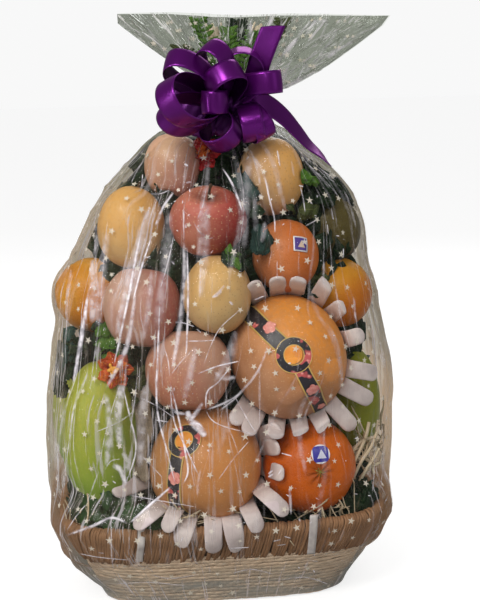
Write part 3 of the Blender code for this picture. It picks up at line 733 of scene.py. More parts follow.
def leaf_finish(name, blade, vein, under, roughness):
    """An artificial leaf: printed veins on a blade that varies in tone."""
    made, tree, shader = new_finish(name)
    across, along, _ = coords(tree, "UV").parts()
    off_rib = abs(across - 0.5)
    wave = abs((along * 8.0 - off_rib * 5.0).calc("FRACT") - 0.5)
    veins = off_rib.ramp(0.05, 0.015).largest(wave.ramp(0.10, 0.03) * 0.55)
    clouds = use(tree, "mottle", Scale=70.0, Contrast=0.20)
    colour = (shade_of(tree) * 0.6).blend(clouds["Soft"].blend(blade, under), darker(blade, 0.45))
    colour = (veins * 0.6).blend(colour, vein)
    rough = clouds["Fine"].ramp(0.0, 1.0, roughness, roughness + 0.15)
    leaf = {"Base Color": colour, "Roughness": rough, "Normal": veins.bump(0.6, 0.0008)}
    set_inputs(tree, shader, {**leaf, "Specular IOR Level": 0.2})
    return made


def foam_finish():
    """Soft white packing foam with small closed cells."""
    made, tree, shader = new_finish("foam_white")
    cells = use(tree, "pores", Scale=900.0, Size=0.30)
    clouds = use(tree, "mottle", Scale=55.0, Contrast=0.22)
    colour = clouds["Soft"].blend(tone(222, 208, 206), tone(196, 180, 180))
    colour = (cells["Dots"] * 0.25).blend(colour, tone(170, 155, 155))
    rough, normal = clouds["Fine"].ramp(0.0, 1.0, 0.55, 0.75), cells["Height"].bump(0.35, 0.0005)
    set_inputs(tree, shader, {"Base Color": colour, "Roughness": rough, "Normal": normal})
    return made


def ribbon_finish():
    """Glossy florist's ribbon: fine ribs along it, a soft sheen, and a dull inner face painted dark as shade;
    the knot and the lumps beside it are painted near-black as shade.
    """
    made, tree, shader = new_finish("ribbon_purple")
    across = coords(tree, "UV").parts()[0]
    inner, clouds = shade_of(tree), use(tree, "mottle", Scale=30.0, Contrast=0.30)
    ribs = (across * 120.0).calc("SINE")
    # Painted shade: the marked inner faces, knot and lumps go towards a near-black purple
    colour = inner.blend(clouds["Soft"].blend(tone(110, 18, 128), tone(94, 10, 110)), tone(36, 0, 42))
    edge = abs(across - 0.5).ramp(0.45, 0.49)
    satin = {
        "Base Color": (edge * 0.35).blend(colour, tone(140, 60, 165)),
        "Roughness": inner * 0.2 + clouds["Soft"].ramp(0.0, 1.0, 0.27, 0.33),
        "Normal": ribs.bump(0.05, 0.0001), "Metallic": 0.75, "Coat Weight": 0.22, "Coat Roughness": 0.26,
        "Specular Tint": tone(255, 190, 250)
    }
    set_inputs(tree, shader, satin)
    return made


def film_finish(name, tint, pale, sides, veils, fan, crinkles, gloss):
    """Thin clear film: it lets light through, mirrors at a slant, and has painted sheen and highlights in
    pale streaks and fold lines.

    The milky share differs at the left, low right, low and high parts, and is largest on the inner face; the
    milkier left is painted sheen, the warm low right a painted reflection and the grey foot a painted sheen.
    """
    made, tree, shader = new_finish(name)
    wrinkled, streaks = use(tree, "crinkle", **crinkles), use(tree, "streaks", **fan)
    place = coords(tree)
    x, _, z = place.parts()
    rays = put(tree, "LightPath").outputs
    seen, shadow = Value(tree, rays["Is Camera Ray"]), Value(tree, rays["Is Shadow Ray"])
    even, left_sheen_share, left_streak_sheen, all_streak_sheen, edge_veil, fold_highlight_share, inner_veil = veils
    left, low, high = x.ramp(0.05, -0.10), z.ramp(0.056, 0.022), z.ramp(0.36, 0.46)
    # Mask of the low right, where a warm painted reflection lies on the film
    warm_reflection_low_right = x.ramp(0.08, 0.14) * z.ramp(0.24, 0.18)
    at_border = abs(x).ramp(0.115, 0.150) * z.ramp(0.125, 0.085)
    bent = (streaks["Fine"] * 0.9 + wrinkled["Height"]).bump(0.45, 0.0010)
    edge = given_by(tree, "LayerWeight", "Facing", {"Blend": 0.5}).ramp(0.50, 0.95)
    broad = streaks["Broad"] * 0.3 + 0.75
    # Pale streaks and a milkier left side: painted sheen
    sheen_streak = streaks["Broad"].ramp(0.30, 0.95) * streaks["Fine"].ramp(0.45, 0.95)
    veil = left * left_sheen_share + even
    veil = veil + sheen_streak * (left * left_streak_sheen + all_streak_sheen)
    # Fold lines painted white: painted highlights
    veil = wrinkled["Fold_highlight"] * fold_highlight_share + veil
    veil = edge * broad * (left.largest(warm_reflection_low_right) * (0.65 * edge_veil) + 0.35 * edge_veil) + veil
    # A grey painted sheen along the film's foot, in horizontal smears
    foot_sheen = place.vector("MULTIPLY", (14.0, 14.0, 90.0)).noise(1.0, 3.0).ramp(0.30, 0.74, 0.18, 0.74)
    veil = low * foot_sheen + veil
    inner = given_by(tree, "NewGeometry", "Backfacing") * seen
    veil = (inner * broad * inner_veil + veil).clamped()
    lets_in = shadow * -0.85 + 1.0
    # Colours by side: a warm painted reflection at the low right, and a grey painted sheen along the foot
    side = warm_reflection_low_right.blend(left.blend(sides[1], sides[0]), sides[2])
    side = high.blend(low.blend(at_border.blend(side, sides[4]), tone(152, 154, 148)), sides[3])
    # Streaks in the pale colour of the painted sheen
    colour = (sheen_streak * edge.ramp(0.9, 0.2)).blend(side, pale)
    surface = {"Base Color": colour, "Roughness": 0.5, "Specular IOR Level": 0.2, "Normal": bent}
    milky, through = (
        given_by(tree, "BsdfPrincipled", 0, surface),
        given_by(tree, "BsdfTranslucent", 0, {"Color": colour})
    )
    milky = (inner * 0.65 + 0.20).mix(milky, through)
    body = (veil * lets_in).mix(given_by(tree, "BsdfTransparent", 0, {"Color": tint}), milky)
    mirror = {"Base Color": (0.95, 0.96, 0.97), "Metallic": 1.0, "Roughness": 0.10, "Normal": bent}
    set_inputs(tree, shader, mirror)
    slant = given_by(tree, "LayerWeight", "Fresnel", {"Blend": 0.30, "Normal": bent})
    mirrored = (slant * gloss + 0.003).clamped() * lets_in
    set_inputs(tree, tree.nodes["Material Output"], {0: mirrored.mix(body, Value(tree, shader.outputs[0]))})
    return made


def fold_highlight_finish():
    """The painted highlight along a fold: bright along its middle, clear at its edges and ends, and broken
    up.
    """
    made, tree, shader = new_finish("film_fold_painted_highlight")
    across, along, _ = coords(tree, "UV").parts()
    line = abs(across * 2.0 + -1.0).ramp(1.0, 0.10) * (along.ramp(0.0, 0.16) * along.ramp(1.0, 0.84))
    broken = coords(tree).noise(130.0).ramp(0.30, 0.62, 0.35, 1.0)
    colour = broken.blend(tone(206, 200, 214), tone(246, 240, 246))
    line = {"Base Color": colour, "Alpha": line * (broken * shade_of(tree)), "Roughness": 0.30}
    set_inputs(tree, shader, line)
    return made


def star_print():
    """Cream ink, slightly see-through."""
    made, tree, shader = new_finish("star_print")
    soft = use(tree, "mottle", Scale=60.0, Contrast=0.22)["Soft"]
    colour = soft.blend(tone(232, 224, 208), tone(206, 196, 178))
    set_inputs(
        tree, shader, {"Base Color": colour, "Alpha": soft.ramp(0.0, 1.0, 0.62, 0.88), "Roughness": 0.5}
    )
    return made


def plain_finish(name, first, second, scale, roughness, height=0.3):
    """A finish with a little cloudiness and a fine grain."""
    made, tree, shader = new_finish(name)
    clouds = use(tree, "mottle", Scale=scale, Contrast=0.22)
    rough = clouds["Fine"].ramp(0.0, 1.0, roughness, roughness + 0.12)
    colour, normal = clouds["Soft"].blend(tone(*first), tone(*second)), clouds["Fine"].bump(height, 0.0005)
    set_inputs(tree, shader, {"Base Color": colour, "Roughness": rough, "Normal": normal})
    return made


def label_finish():
    """Charcoal paper band with a gilt edge and pink flowers."""
    made, tree, shader = new_finish("label_band")
    place = coords(tree)
    edge = abs(coords(tree, "UV").parts()[0] - 0.5).ramp(0.40, 0.43)
    petals = place.cells(260.0)
    colour = (petals.ramp(0.22, 0.12) * 0.5).blend(tone(40, 35, 42), tone(120, 112, 112))
    pink = petals.ramp(0.1, 0.5).blend(tone(226, 150, 140), tone(190, 84, 84))
    colour = place.noise(55.0).ramp(0.56, 0.60).blend(colour, pink)
    colour = edge.blend(colour, tone(206, 172, 96))
    rough = edge.ramp(0.0, 1.0, 0.45, 0.30)
    set_inputs(tree, shader, {"Base Color": colour, "Roughness": rough, "Normal": edge.bump(0.3, 0.0002)})
    return made


def sticker_finish(name, field, accent, tilt):
    """A small fruit sticker: a coloured field with a pale wedge and a white rim."""
    made, tree, shader = new_finish(name)
    across, up, _ = coords(tree, "UV").parts()
    x, y = across - 0.5, up - 0.5
    wedge = abs(x + tilt) - (0.22 - y) * 0.55
    inside = wedge.ramp(0.02, 0.0) * y.ramp(-0.24, -0.20)
    colour = inside.blend(tone(*field), tone(*accent))
    colour = abs(x).largest(abs(y)).ramp(0.40, 0.43).blend(colour, tone(232, 228, 232))
    rough = coords(tree).noise(900.0).ramp(0.3, 0.7, 0.25, 0.4)
    set_inputs(tree, shader, {"Base Color": colour, "Roughness": rough})
    return made


# Geometry Nodes: pieces laid on points, and stars printed on the film


def realized(tree, laid, finish, result):
    """Ends a tree: its instances made real, with their finish set."""
    real = given_by(tree, "GeometryNodeRealizeInstances", 0, {0: laid})
    dressed = given_by(tree, "GeometryNodeSetMaterial", 0, {"Geometry": real, "Material": finish})
    set_inputs(tree, result, {0: dressed})
    return tree


def laid_tree():
    """Lays one piece on each point, turned and sized by the point's own values, each with its own shade."""
    inputs = {
        "Geometry": ("Geometry", None), "Piece": ("Object", None), "Finish": ("Material", None),
        "Size": ("Float", 1.0), "Seed": ("Int", 3)
    }
    tree, given, result = new_tree("laid_pieces", "GeometryNodeTree", inputs, {"Geometry": "Geometry"})
    piece = given_by(tree, "GeometryNodeObjectInfo", "Geometry", {"Object": given["Piece"]})
    named = "GeometryNodeInputNamedAttribute"
    turn = given_by(tree, named, 0, {"Name": "turn"}, data_type="FLOAT_VECTOR")
    size = given_by(tree, named, 0, {"Name": "size"}, data_type="FLOAT") * given["Size"]
    turned = given_by(tree, "FunctionNodeEulerToRotation", 0, {0: turn})
    laid = {
        "Points": given["Geometry"], "Instance": piece, "Rotation": turned,
        "Scale": joined(tree, size, size, size)
    }
    laid = given_by(tree, "GeometryNodeInstanceOnPoints", 0, laid)
    chance = given_by(tree, "FunctionNodeRandomValue", 1, {"Seed": given["Seed"]}, data_type="FLOAT")
    marked = {"Geometry": laid, "Name": "shade", "Value": chance}
    store = "GeometryNodeStoreNamedAttribute"
    marked = given_by(tree, store, 0, marked, data_type="FLOAT", domain="INSTANCE")
    return realized(tree, marked, given["Finish"], result)


def star_tree():
    """Prints small five-pointed stars at random on a sheet, flat against it."""
    inputs = {
        "Geometry": ("Geometry", None), "Stars per square metre": ("Float", 1500.0),
        "Least distance": ("Float", 0.014), "Star radius": ("Float", 0.0034), "Lift": ("Float", 0.0003),
        "Finish": ("Material", None), "Seed": ("Int", 5)
    }
    tree, given, result = new_tree("printed_stars", "GeometryNodeTree", inputs, {"Geometry": "Geometry"})
    sheet, radius, seed = given["Geometry"], given["Star radius"], given["Seed"]
    spread = {
        "Mesh": sheet, "Distance Min": given["Least distance"],
        "Density Max": given["Stars per square metre"]
    }
    points = put(
        tree, "GeometryNodeDistributePointsOnFaces", {**spread, "Seed": seed}, distribute_method="POISSON"
    )
    outline = {"Points": 5, "Inner Radius": radius * 0.38, "Outer Radius": radius}
    filled = given_by(
        tree, "GeometryNodeFillCurve", 0, {0: given_by(tree, "GeometryNodeCurveStar", 0, outline)}
    )
    lift = given_by(tree, "CombineXYZ", 0, {2: given["Lift"]})
    star = given_by(tree, "GeometryNodeTransform", 0, {"Geometry": filled, "Translation": lift})
    spin = {"Max": (0.0, 0.0, 6.28), "Seed": seed}
    spin = given_by(tree, "FunctionNodeRandomValue", 0, spin, data_type="FLOAT_VECTOR")
    turned = {0: Value(tree, points.outputs["Rotation"]), 1: spin}
    turned = given_by(tree, "FunctionNodeRotateRotation", 0, turned, rotation_space="LOCAL")
    size = given_by(tree, "FunctionNodeRandomValue", 1, {2: 0.75, 3: 1.15, "Seed": seed}, data_type="FLOAT")
    laid = {"Points": Value(tree, points.outputs[0]), "Instance": star, "Rotation": turned, "Scale": size}
    laid = given_by(tree, "GeometryNodeInstanceOnPoints", 0, laid)
    return realized(tree, laid, given["Finish"], result)


def grown(name, base, tree, **values):
    """Runs a node tree on a base object, and keeps the result as a plain mesh."""
    step = base.modifiers.new("grow", "NODES")
    step.node_group = tree
    ids = {item.name: item.identifier for item in tree.interface.items_tree if item.in_out == "INPUT"}
    for label, value in values.items():
        step[ids[label.replace("_", " ")]] = value
    bpy.context.view_layer.update()
    mesh = bpy.data.meshes.new_from_object(base.evaluated_get(bpy.context.evaluated_depsgraph_get()))
    base.modifiers.remove(step)
    mesh.name = name
    made = bpy.data.objects.new(name, mesh)
    bpy.context.scene.collection.objects.link(made)
    return made


def points_base(name, places, turns, sizes):
    mesh = bpy.data.meshes.new(name)
    mesh.from_pydata(np.asarray(places, float).tolist(), [], [])
    mesh.attributes.new("turn", "FLOAT_VECTOR", "POINT").data.foreach_set(
        "vector", np.asarray(turns, float).ravel()
    )
    mesh.attributes.new("size", "FLOAT", "POINT").data.foreach_set("value", np.asarray(sizes, float))
    base = bpy.data.objects.new(name, mesh)
    bpy.context.scene.collection.objects.link(base)
    return base


def drop(*things):
    for thing in things:
        bpy.data.objects.remove(thing, do_unlink=True)


LAID, STARS = laid_tree(), star_tree()


# Basket


def tub_size(height, outwards=0.0):
    share = height / TUB_TOP
    width = BASE_HALF_WIDTH + (TUB_TOP_HALF_WIDTH - BASE_HALF_WIDTH) * share
    depth = BASE_HALF_DEPTH + (TUB_TOP_HALF_DEPTH - BASE_HALF_DEPTH) * share
    return width + outwards, depth + outwards


def even_ring(width, depth, squareness, count):
    """Points an even distance apart around a level ring, with the way out at each."""
    turn = np.linspace(0, TAU, 2001)
    x, y = ring_at(width, depth, squareness, turn)
    run = np.concatenate([[0], np.cumsum(np.hypot(np.diff(x), np.diff(y)))])
    spots = np.linspace(0, run[-1], count, endpoint=False)
    px, py = np.interp(spots, run, x), np.interp(spots, run, y)
    tx, ty = np.roll(px, -1) - np.roll(px, 1), np.roll(py, -1) - np.roll(py, 1)
    return np.stack([px, py], -1), np.arctan2(-tx, ty)


def lay(name, piece, base, finish, seed):
    """The pieces laid on a base's points, as one mesh; the base and the single piece go."""
    made = grown(name, base, LAID, Piece=piece, Finish=finish, Seed=seed)
    drop(base, piece)
    return made


# Weave: strands around, a step between rows, and how far the wall lies behind them
STAKES, ROW_STEP, WALL_SET_BACK = 76, 0.0038, 0.0012
TUB_LEAN = (TUB_TOP_HALF_WIDTH - BASE_HALF_WIDTH) / TUB_TOP


def make_weave(finish):
    """Strands that arch over every other stake."""
    run = np.linspace(-1, 1, 8)
    step = 2 * sum(tub_size(0.03)) * 1.8 / STAKES
    arch = np.stack([0.002 * (1 - run**2) - WALL_SET_BACK, run * step * 1.02, 0.0003 * np.sin(run * 2)], -1)
    strand = Heap()
    strand.add(*tube(arch, 0.0021 * (1 - 0.20 * run**4), 6, 0.50, (1.0, 0.0, 0.0)))
    rng = np.random.default_rng(11)
    places, turns = [], []
    for row, height in enumerate(np.arange(0.0034, BORDER_FOOT + 0.006, ROW_STEP)):
        spots, out = even_ring(*tub_size(height), TUB_SQUARENESS, STAKES * 2)
        for spot, way in list(zip(spots, out))[row % 2 :: 2]:
            places.append((spot[0], spot[1], height + rng.normal(0, 0.0003)))
            turns.append((rng.normal(0, 0.03), math.atan(TUB_LEAN) + rng.normal(0, 0.02), way))
    base = points_base("weave_points", places, turns, np.ones(len(places)))
    return lay("basket_weave", strand.made("weave_arch"), base, finish, 7)


def make_wall(finish):
    """The dark inner wall, shut at the foot, that shows between the strands."""
    back, rings = -WALL_SET_BACK, []
    outer = ((0.0006, -0.004), (0.0006, back), (0.010, back), (TUB_TOP, back))
    for height, outwards in (*outer, (TUB_TOP, -TUB_WALL), (0.008, -TUB_WALL)):
        x, y = ring_at(*tub_size(height, outwards), TUB_SQUARENESS, circle(120))
        rings.append(np.stack([x, y, np.full(120, height)], -1))
    wall = Heap()
    wall.add(np.concatenate(rings), shell(len(rings), 120))
    return wall.made("basket_wall", finish, smooth=False)


def make_underside(finish):
    """A flat plaited underside."""
    plaits = Heap()
    for k, y in enumerate(np.arange(-BASE_HALF_DEPTH + 0.006, BASE_HALF_DEPTH - 0.004, 0.0066)):
        half = BASE_HALF_WIDTH * (1 - abs(y / BASE_HALF_DEPTH) ** 4) ** 0.25 - 0.004
        x = np.linspace(-half, half, 64)
        z = 0.0022 + 0.0009 * np.sin(x * 260 + math.pi * k)
        plaits.add(*tube(np.stack([x, np.full_like(x, y), z], -1), 0.0034, 8, 0.38), shade=(k * 0.37) % 1)
    return plaits.made("basket_underside", finish)


# Border: its strands, and how each runs up outside (share of the drop, way out, slant) and over the crown
BORDER_STRANDS, CROWN = 336, TUB_TOP + 0.0003
BORDER_OUTSIDE = ((1.0, 0.0014, -0.0060), (0.86, 0.0034, -0.0050), (0.45, 0.0044, -0.0026))
BORDER_OVER = (
    (0.0034, 0.0, 0.0005), (0.0002, 0.0006, 0.0052), (-0.003, 0.001, 0.0056), (-0.0066, 0.0012, 0.0012),
    (-0.0084, 0.0015, -0.0124)
)


def make_border(finish):
    """Wrapped strands folded over the basket's edge, side by side and slightly slanted."""
    count, fall = BORDER_STRANDS, CROWN - BORDER_FOOT
    outside = [
        (-fall * TUB_LEAN * share + out, slant, -fall * share) for share, out, slant in BORDER_OUTSIDE
    ]
    strand = Heap()
    strand.add(*tube(smooth_path([*outside, *BORDER_OVER], 24), 0.0012, 7, 1.46, (0.0, 1.0, 0.0)))
    spots, out = even_ring(*tub_size(CROWN), TUB_SQUARENESS, count)
    rng = np.random.default_rng(21)
    places = np.column_stack(
        [spots + rng.normal(0, 0.00025, spots.shape), CROWN + rng.normal(-0.0002, 0.0004, count)]
    )
    turns = np.column_stack([rng.normal(0, 0.03, count), np.zeros(count), out + rng.normal(0, 0.05, count)])
    base = points_base("border_points", places, turns, rng.uniform(0.97, 1.03, count))
    return lay("basket_border_strands", strand.made("border_strand"), base, finish, 9)


# Film bag


def bag_section(height, turn):
    """The film's cross-section at a height, pleated at the neck."""
    half_width, middle, half_depth = bag_sizes(height)
    rise = max(0.0, height - NECK_PLEATS_FROM) / (NECK_TOP - NECK_PLEATS_FROM)
    x, y = ring_at(half_width, half_depth, BAG_SQUARENESS, turn)
    out = film_reach(middle + x, y, np.full_like(x, height))[0]
    angle = np.arctan2(y, x)
    out = out * (1.0 - NECK_PLEAT_SHARE * rise * (1.0 - np.cos(NECK_PLEATS * angle)))
    return np.stack([middle + np.cos(angle) * out, np.sin(angle) * out, np.full_like(out, height)], -1)


def behind_film(film_tree, across, down, gap):
    """The point seen at a pixel, a gap behind the front of the film."""
    ray = ray_through(across, down)
    hit = film_tree.ray_cast(CAMERA_PLACE, ray)[0]
    return np.array(hit + ray.normalized() * gap)


def low_film(height, turn):
    """The film where it hugs the basket and hangs loose below the rim."""
    border = BORDER_THICKNESS * ease((height - BORDER_FOOT + 0.006) / 0.010)
    width, depth = tub_size(min(height, TUB_TOP), border + 0.0030)
    x, y = ring_at(width, depth, TUB_SQUARENESS, turn)
    y = y - 0.0058 * ease((-y - 0.05) / 0.04) * ease((height - 0.040) / 0.02)
    left, right = (np.interp(height, HANG[:, 0], HANG[:, side]) for side in (1, 2))
    x = x + left * ease(-x / width) + right * ease(x / width)
    return np.stack([x, y, np.full(len(turn), height)], -1)


def film_creases(film, turn):
    """How far the film's creases and gathers stand off it."""
    level, spot = film[..., 2], film + np.array([3.0, 5.0, 7.0])
    slanted = spot @ np.array([[0.8, 0, 0.6], [0, 1, 0], [-0.6, 0, 0.8]])
    left = ease((0.05 - film[..., 0]) / 0.10)
    long_folds = crease(spot, (0.017, 0.030, 0.30), 31, 2.5) * (0.35 + 0.65 * left)
    cross_folds = crease(slanted, (0.05, 0.05, 0.022), 32, 3.0)
    facets, small = crease(spot, 0.034, 33, 1.2) - 0.5, crease(spot, (0.009, 0.012, 0.020), 34, 1.5) - 0.5
    lift = 0.0015 * long_folds + 0.0006 * cross_folds + 0.0014 * facets + 0.0005 * small - 0.0014
    calm = ease((level - 0.003) / 0.02) * (1 - 0.75 * ease((level - 0.455) / 0.02))
    hug = 1 - 0.55 * ease((0.10 - level) / 0.02)
    gather = ease((level - 0.452) / 0.02)
    return lift * calm * hug + gather * 0.0007 * np.sin(38 * turn + 30 * level)


def make_film(finish):
    """One film from the tied neck over the fruit and the basket's rim to the ground, creased all over."""
    turn = circle(FILM_AROUND)
    heights = np.concatenate(
        [np.linspace(0.003, 0.1, 52), np.linspace(0.1018, 0.46, 190), np.linspace(0.4615, NECK_TOP, 22)]
    )
    rows = []
    for height in heights:
        share, row = ease((0.125 - height) / 0.034), bag_section(max(height, RIM_LEVEL), turn)
        if share > 0:
            row = row * (1 - share) + low_film(height, turn) * share
            row[:, 2] = height
        rows.append(row)
    film = np.array(rows)
    beside = np.roll(film, -1, axis=1) - np.roll(film, 1, axis=1)
    film = film + unit(np.cross(beside, np.gradient(film, axis=0))) * film_creases(film, turn)[..., None]
    sheet, faces = Heap(), net(len(heights), len(turn))
    sheet.add(film, faces)
    return (
        sheet.made("film_skin", finish), BVHTree.FromPolygons(film.reshape(-1, 3).tolist(), faces.tolist())
    )


# Painted highlights along folds pressed into the film where the photograph shows them: width in mm, strength,
# then pixels
FRONT_FOLD_HIGHLIGHTS = (
    (4.2, 0.92, (141, 232), (134, 268), (128, 300), (113, 371)),
    (7.0, 0.6, (136, 290), (129, 338), (121, 361), (106, 389)),
    (3.2, 0.85, (153, 233), (141, 270), (133, 302)), (1.8, 0.65, (174, 235), (168, 262), (160, 290)),
    (7.0, 0.55, (184, 240), (184, 285), (179, 330), (172, 372)),
    (3.2, 0.85, (187, 246), (188, 300), (186, 360)), (2.6, 0.75, (184, 209), (184, 241)),
    (1.6, 0.65, (194, 222), (199, 231), (206, 236)),
    (3.4, 0.9, (222, 168), (231, 182), (238, 199), (242, 212)), (4.0, 0.3, (95, 215), (96, 262), (99, 300)),
    (14.0, 0.5, (92, 258), (94, 290), (92, 324)), (8.0, 0.34, (72, 268), (68, 292), (66, 318)),
    (2.0, 0.4, (108, 218), (104, 260), (101, 300)), (2.0, 0.8, (143, 174), (142, 187)),
    (1.6, 0.55, (147, 158), (138, 170), (131, 184)), (4.2, 0.6, (174, 192), (163, 208), (155, 227)),
    (1.8, 0.6, (150, 194), (160, 194), (170, 190)), (1.6, 0.5, (206, 189), (203, 205), (197, 220)),
    (2.6, 0.35, (201, 257), (200, 300)), (4.0, 0.8, (225, 285), (219, 292), (212, 298)),
    (7.0, 0.95, (88, 296), (83, 330), (73, 386)), (2.2, 0.5, (78, 389), (71, 427), (63, 502)),
    (1.8, 0.5, (76, 397), (66, 466), (60, 505)), (2.2, 0.45, (101, 315), (97, 340), (90, 392)),
    (1.6, 0.4, (84, 330), (79, 380), (72, 440)),
    (3.0, 0.9, (160, 296), (158, 350), (157, 406), (166, 447), (176, 486)),
    (3.0, 0.9, (170, 380), (178, 415), (185, 450), (188, 472), (182, 486)),
    (2.4, 0.85, (170, 380), (174, 420), (186, 448), (200, 478)),
    (1.6, 0.65, (170, 378), (168, 360), (163, 345)), (1.5, 0.5, (170, 376), (181, 362), (194, 348)),
    (2.4, 0.85, (197, 374), (218, 366), (240, 361)),
    (2.6, 0.9, (232, 365), (218, 382), (207, 392), (206, 411)),
    (3.2, 0.55, (206, 410), (224, 403), (241, 393)),
    (1.8, 0.7, (206, 410), (212, 420), (226, 427), (258, 435)),
    (1.6, 0.6, (241, 309), (218, 331), (203, 366)), (2.0, 0.8, (187, 341), (200, 341), (216, 340)),
    (1.6, 0.65, (150, 336), (158, 343)), (2.0, 0.7, (174, 322), (184, 323), (195, 327)),
    (1.8, 0.85, (156, 420), (169, 422)), (1.4, 0.5, (139, 397), (157, 406), (176, 419)),
    (13.0, 0.56, (122, 383), (118, 415), (121, 450)), (12.0, 0.34, (146, 384), (142, 420), (140, 470)),
    (10.0, 0.44, (106, 392), (110, 430), (106, 468)), (9.0, 0.34, (66, 400), (60, 440), (58, 490)),
    (9.0, 0.34, (132, 262), (124, 300), (116, 336)), (8.0, 0.3, (152, 270), (148, 310), (142, 344)),
    (10.0, 0.3, (196, 345), (190, 375), (184, 400)),
    (2.6, 0.75, (122, 383), (129, 412), (136, 450), (124, 488)),
    (1.6, 0.5, (121, 383), (112, 410), (104, 440), (99, 470)),
    (1.8, 0.6, (134, 411), (119, 422), (93, 433)), (9.0, 0.65, (112, 465), (121, 470), (126, 486)),
    (1.6, 0.5, (104, 471), (111, 461), (121, 459)), (1.8, 0.45, (142, 456), (152, 466), (163, 478)),
    (1.9, 0.6, (250, 440), (234, 458), (218, 480)), (11.0, 0.85, (190, 421), (198, 427), (206, 437)),
    (3.0, 0.95, (191, 423), (199, 424), (204, 430)), (1.4, 0.55, (192, 458), (192, 472), (195, 487)),
    (4.0, 0.85, (130, 523), (150, 505), (172, 486)),
    (4.6, 0.6, (65, 536), (93, 526), (112, 518), (129, 524)), (2.2, 0.6, (67, 531), (76, 517), (87, 504)),
    (1.8, 0.5, (87, 504), (93, 487), (100, 468)), (1.6, 0.55, (128, 495), (167, 502), (197, 507)),
    (2.2, 0.65, (78, 553), (100, 557), (131, 560)), (2.0, 0.55, (112, 584), (150, 582), (188, 586)),
    (2.6, 0.45, (150, 574), (170, 578), (200, 574)), (2.4, 0.6, (232, 573), (252, 569), (274, 574)),
    (2.4, 0.6, (280, 580), (300, 577), (315, 579), (330, 585)), (2.0, 0.8, (229, 548), (250, 547)),
    (2.4, 0.6, (273, 541), (281, 539)), (2.0, 0.75, (284, 536), (291, 538)),
    (1.8, 0.6, (277, 545), (286, 544)), (1.8, 0.8, (309, 560), (318, 561)),
    (4.0, 0.45, (269, 342), (258, 371), (236, 397), (219, 411)),
    (16.0, 0.26, (150, 205), (140, 250), (130, 300)), (14.0, 0.28, (108, 230), (102, 280), (98, 330)),
    (12.0, 0.26, (206, 200), (205, 250), (200, 300)), (14.0, 0.24, (170, 210), (166, 260), (158, 330)),
    (9.0, 0.8, (187, 410), (191, 421), (199, 431)), (6.0, 0.85, (203, 402), (196, 413), (188, 422)),
    (5.0, 0.55, (168, 404), (176, 412), (186, 414)), (7.0, 0.4, (214, 372), (224, 378), (236, 377)),
    (8.0, 0.34, (122, 452), (128, 462), (124, 476)), (5.0, 0.95, (213, 297), (218, 294), (222, 290)),
    (3.5, 0.9, (229, 301), (233, 305)), (3.4, 1.0, (184, 164), (188, 166)),
    (3.2, 1.0, (186, 183), (191, 182)), (2.5, 0.9, (343, 248), (343, 258)),
    (2.5, 0.8, (331, 208), (333, 220)), (3.0, 0.9, (268, 477), (273, 474)),
    (2.0, 0.8, (254, 300), (264, 296)), (12.0, 0.22, (250, 150), (246, 200), (244, 250)),
    (10.0, 0.24, (236, 330), (228, 356), (214, 384)), (1.5, 0.45, (260, 366), (260, 400), (259, 430)),
    (1.8, 0.5, (234, 395), (245, 415), (257, 435)),
    (2.6, 0.85, (265, 177), (269, 198), (274, 217), (275, 234)), (2.4, 0.8, (277, 150), (280, 167)),
    (2.0, 0.75, (300, 186), (303, 199), (305, 213)), (1.8, 0.6, (327, 224), (328, 235)),
    (1.5, 0.45, (277, 260), (277, 280)), (2.2, 0.6, (268, 124), (278, 125), (286, 130)),
    (3.6, 0.4, (296, 150), (316, 166), (336, 181)), (2.4, 0.45, (303, 160), (322, 178), (338, 196)),
    (1.8, 0.4, (317, 220), (305, 226)), (2.0, 0.8, (281, 453), (292, 456)),
    (2.6, 0.85, (268, 474), (273, 470)), (1.8, 0.5, (381, 420), (383, 455), (380, 492)),
    (3.0, 0.35, (372, 430), (374, 462), (372, 495)), (2.4, 0.4, (366, 300), (374, 340), (378, 400))
)


# Painted highlights along folds pressed into the film above the tie
FAN_FOLD_HIGHLIGHTS = (
    (3.2, 0.55, (283, 78), (287, 68), (292, 58)), (2.6, 0.6, (296, 82), (301, 72), (305, 62)),
    (3.6, 0.5, (306, 84), (314, 77), (322, 70)), (2.2, 0.5, (290, 88), (298, 86), (306, 85)),
    (5.0, 0.22, (284, 60), (296, 40), (312, 20)), (2.0, 0.4, (312, 62), (320, 56), (330, 52)),
    (4.0, 0.2, (172, 62), (160, 45), (146, 26)), (2.0, 0.35, (226, 36), (221, 26), (216, 16)),
    (3.0, 0.3, (246, 34), (250, 24), (255, 14)), (1.8, 0.4, (318, 80), (334, 70), (350, 58)),
    (2.2, 0.3, (300, 50), (318, 38), (338, 30)), (1.6, 0.35, (272, 84), (282, 90), (292, 89))
)


def fold_highlight_strip(heap, hits, width, strength):
    """A painted highlight along a crease in the film: a slender raised strip, white along its middle and
    fading at its ends.
    """
    path, normal = np.asarray([hit[0] for hit in hits]), unit([hit[1] for hit in hits])
    run, shares = np.linspace(0, 1, len(path)), np.linspace(-1, 1, 5)
    side = unit(np.cross(unit(np.gradient(path, axis=0)), normal))
    half = width / 2 * (0.35 + 0.65 * np.sin(math.pi * run) ** 0.6)
    lift = 0.0004 + 0.25 * np.minimum(half, 0.0015)[:, None] * (1 - shares**2)
    grid = (
        path[:, None] + side[:, None] * (half[:, None] * shares)[..., None]
        + normal[:, None] * lift[..., None]
    )
    heap.add(grid, net(len(path), 5, ring=False), grid_uv(run, (shares + 1) / 2), strength)


# Painted highlights on loose creases, glints and creases in the fans: how many of each kind, and how many of
# those are in front
LOOSE_FOLD_HIGHLIGHTS, LOOSE_HIGHLIGHTS_IN_FRONT = 350, 67
GLINTS, GLINTS_IN_FRONT = 150, 80
FAN_CREASE_HIGHLIGHTS, FAN_CREASE_HIGHLIGHTS_IN_FRONT = 230, 160


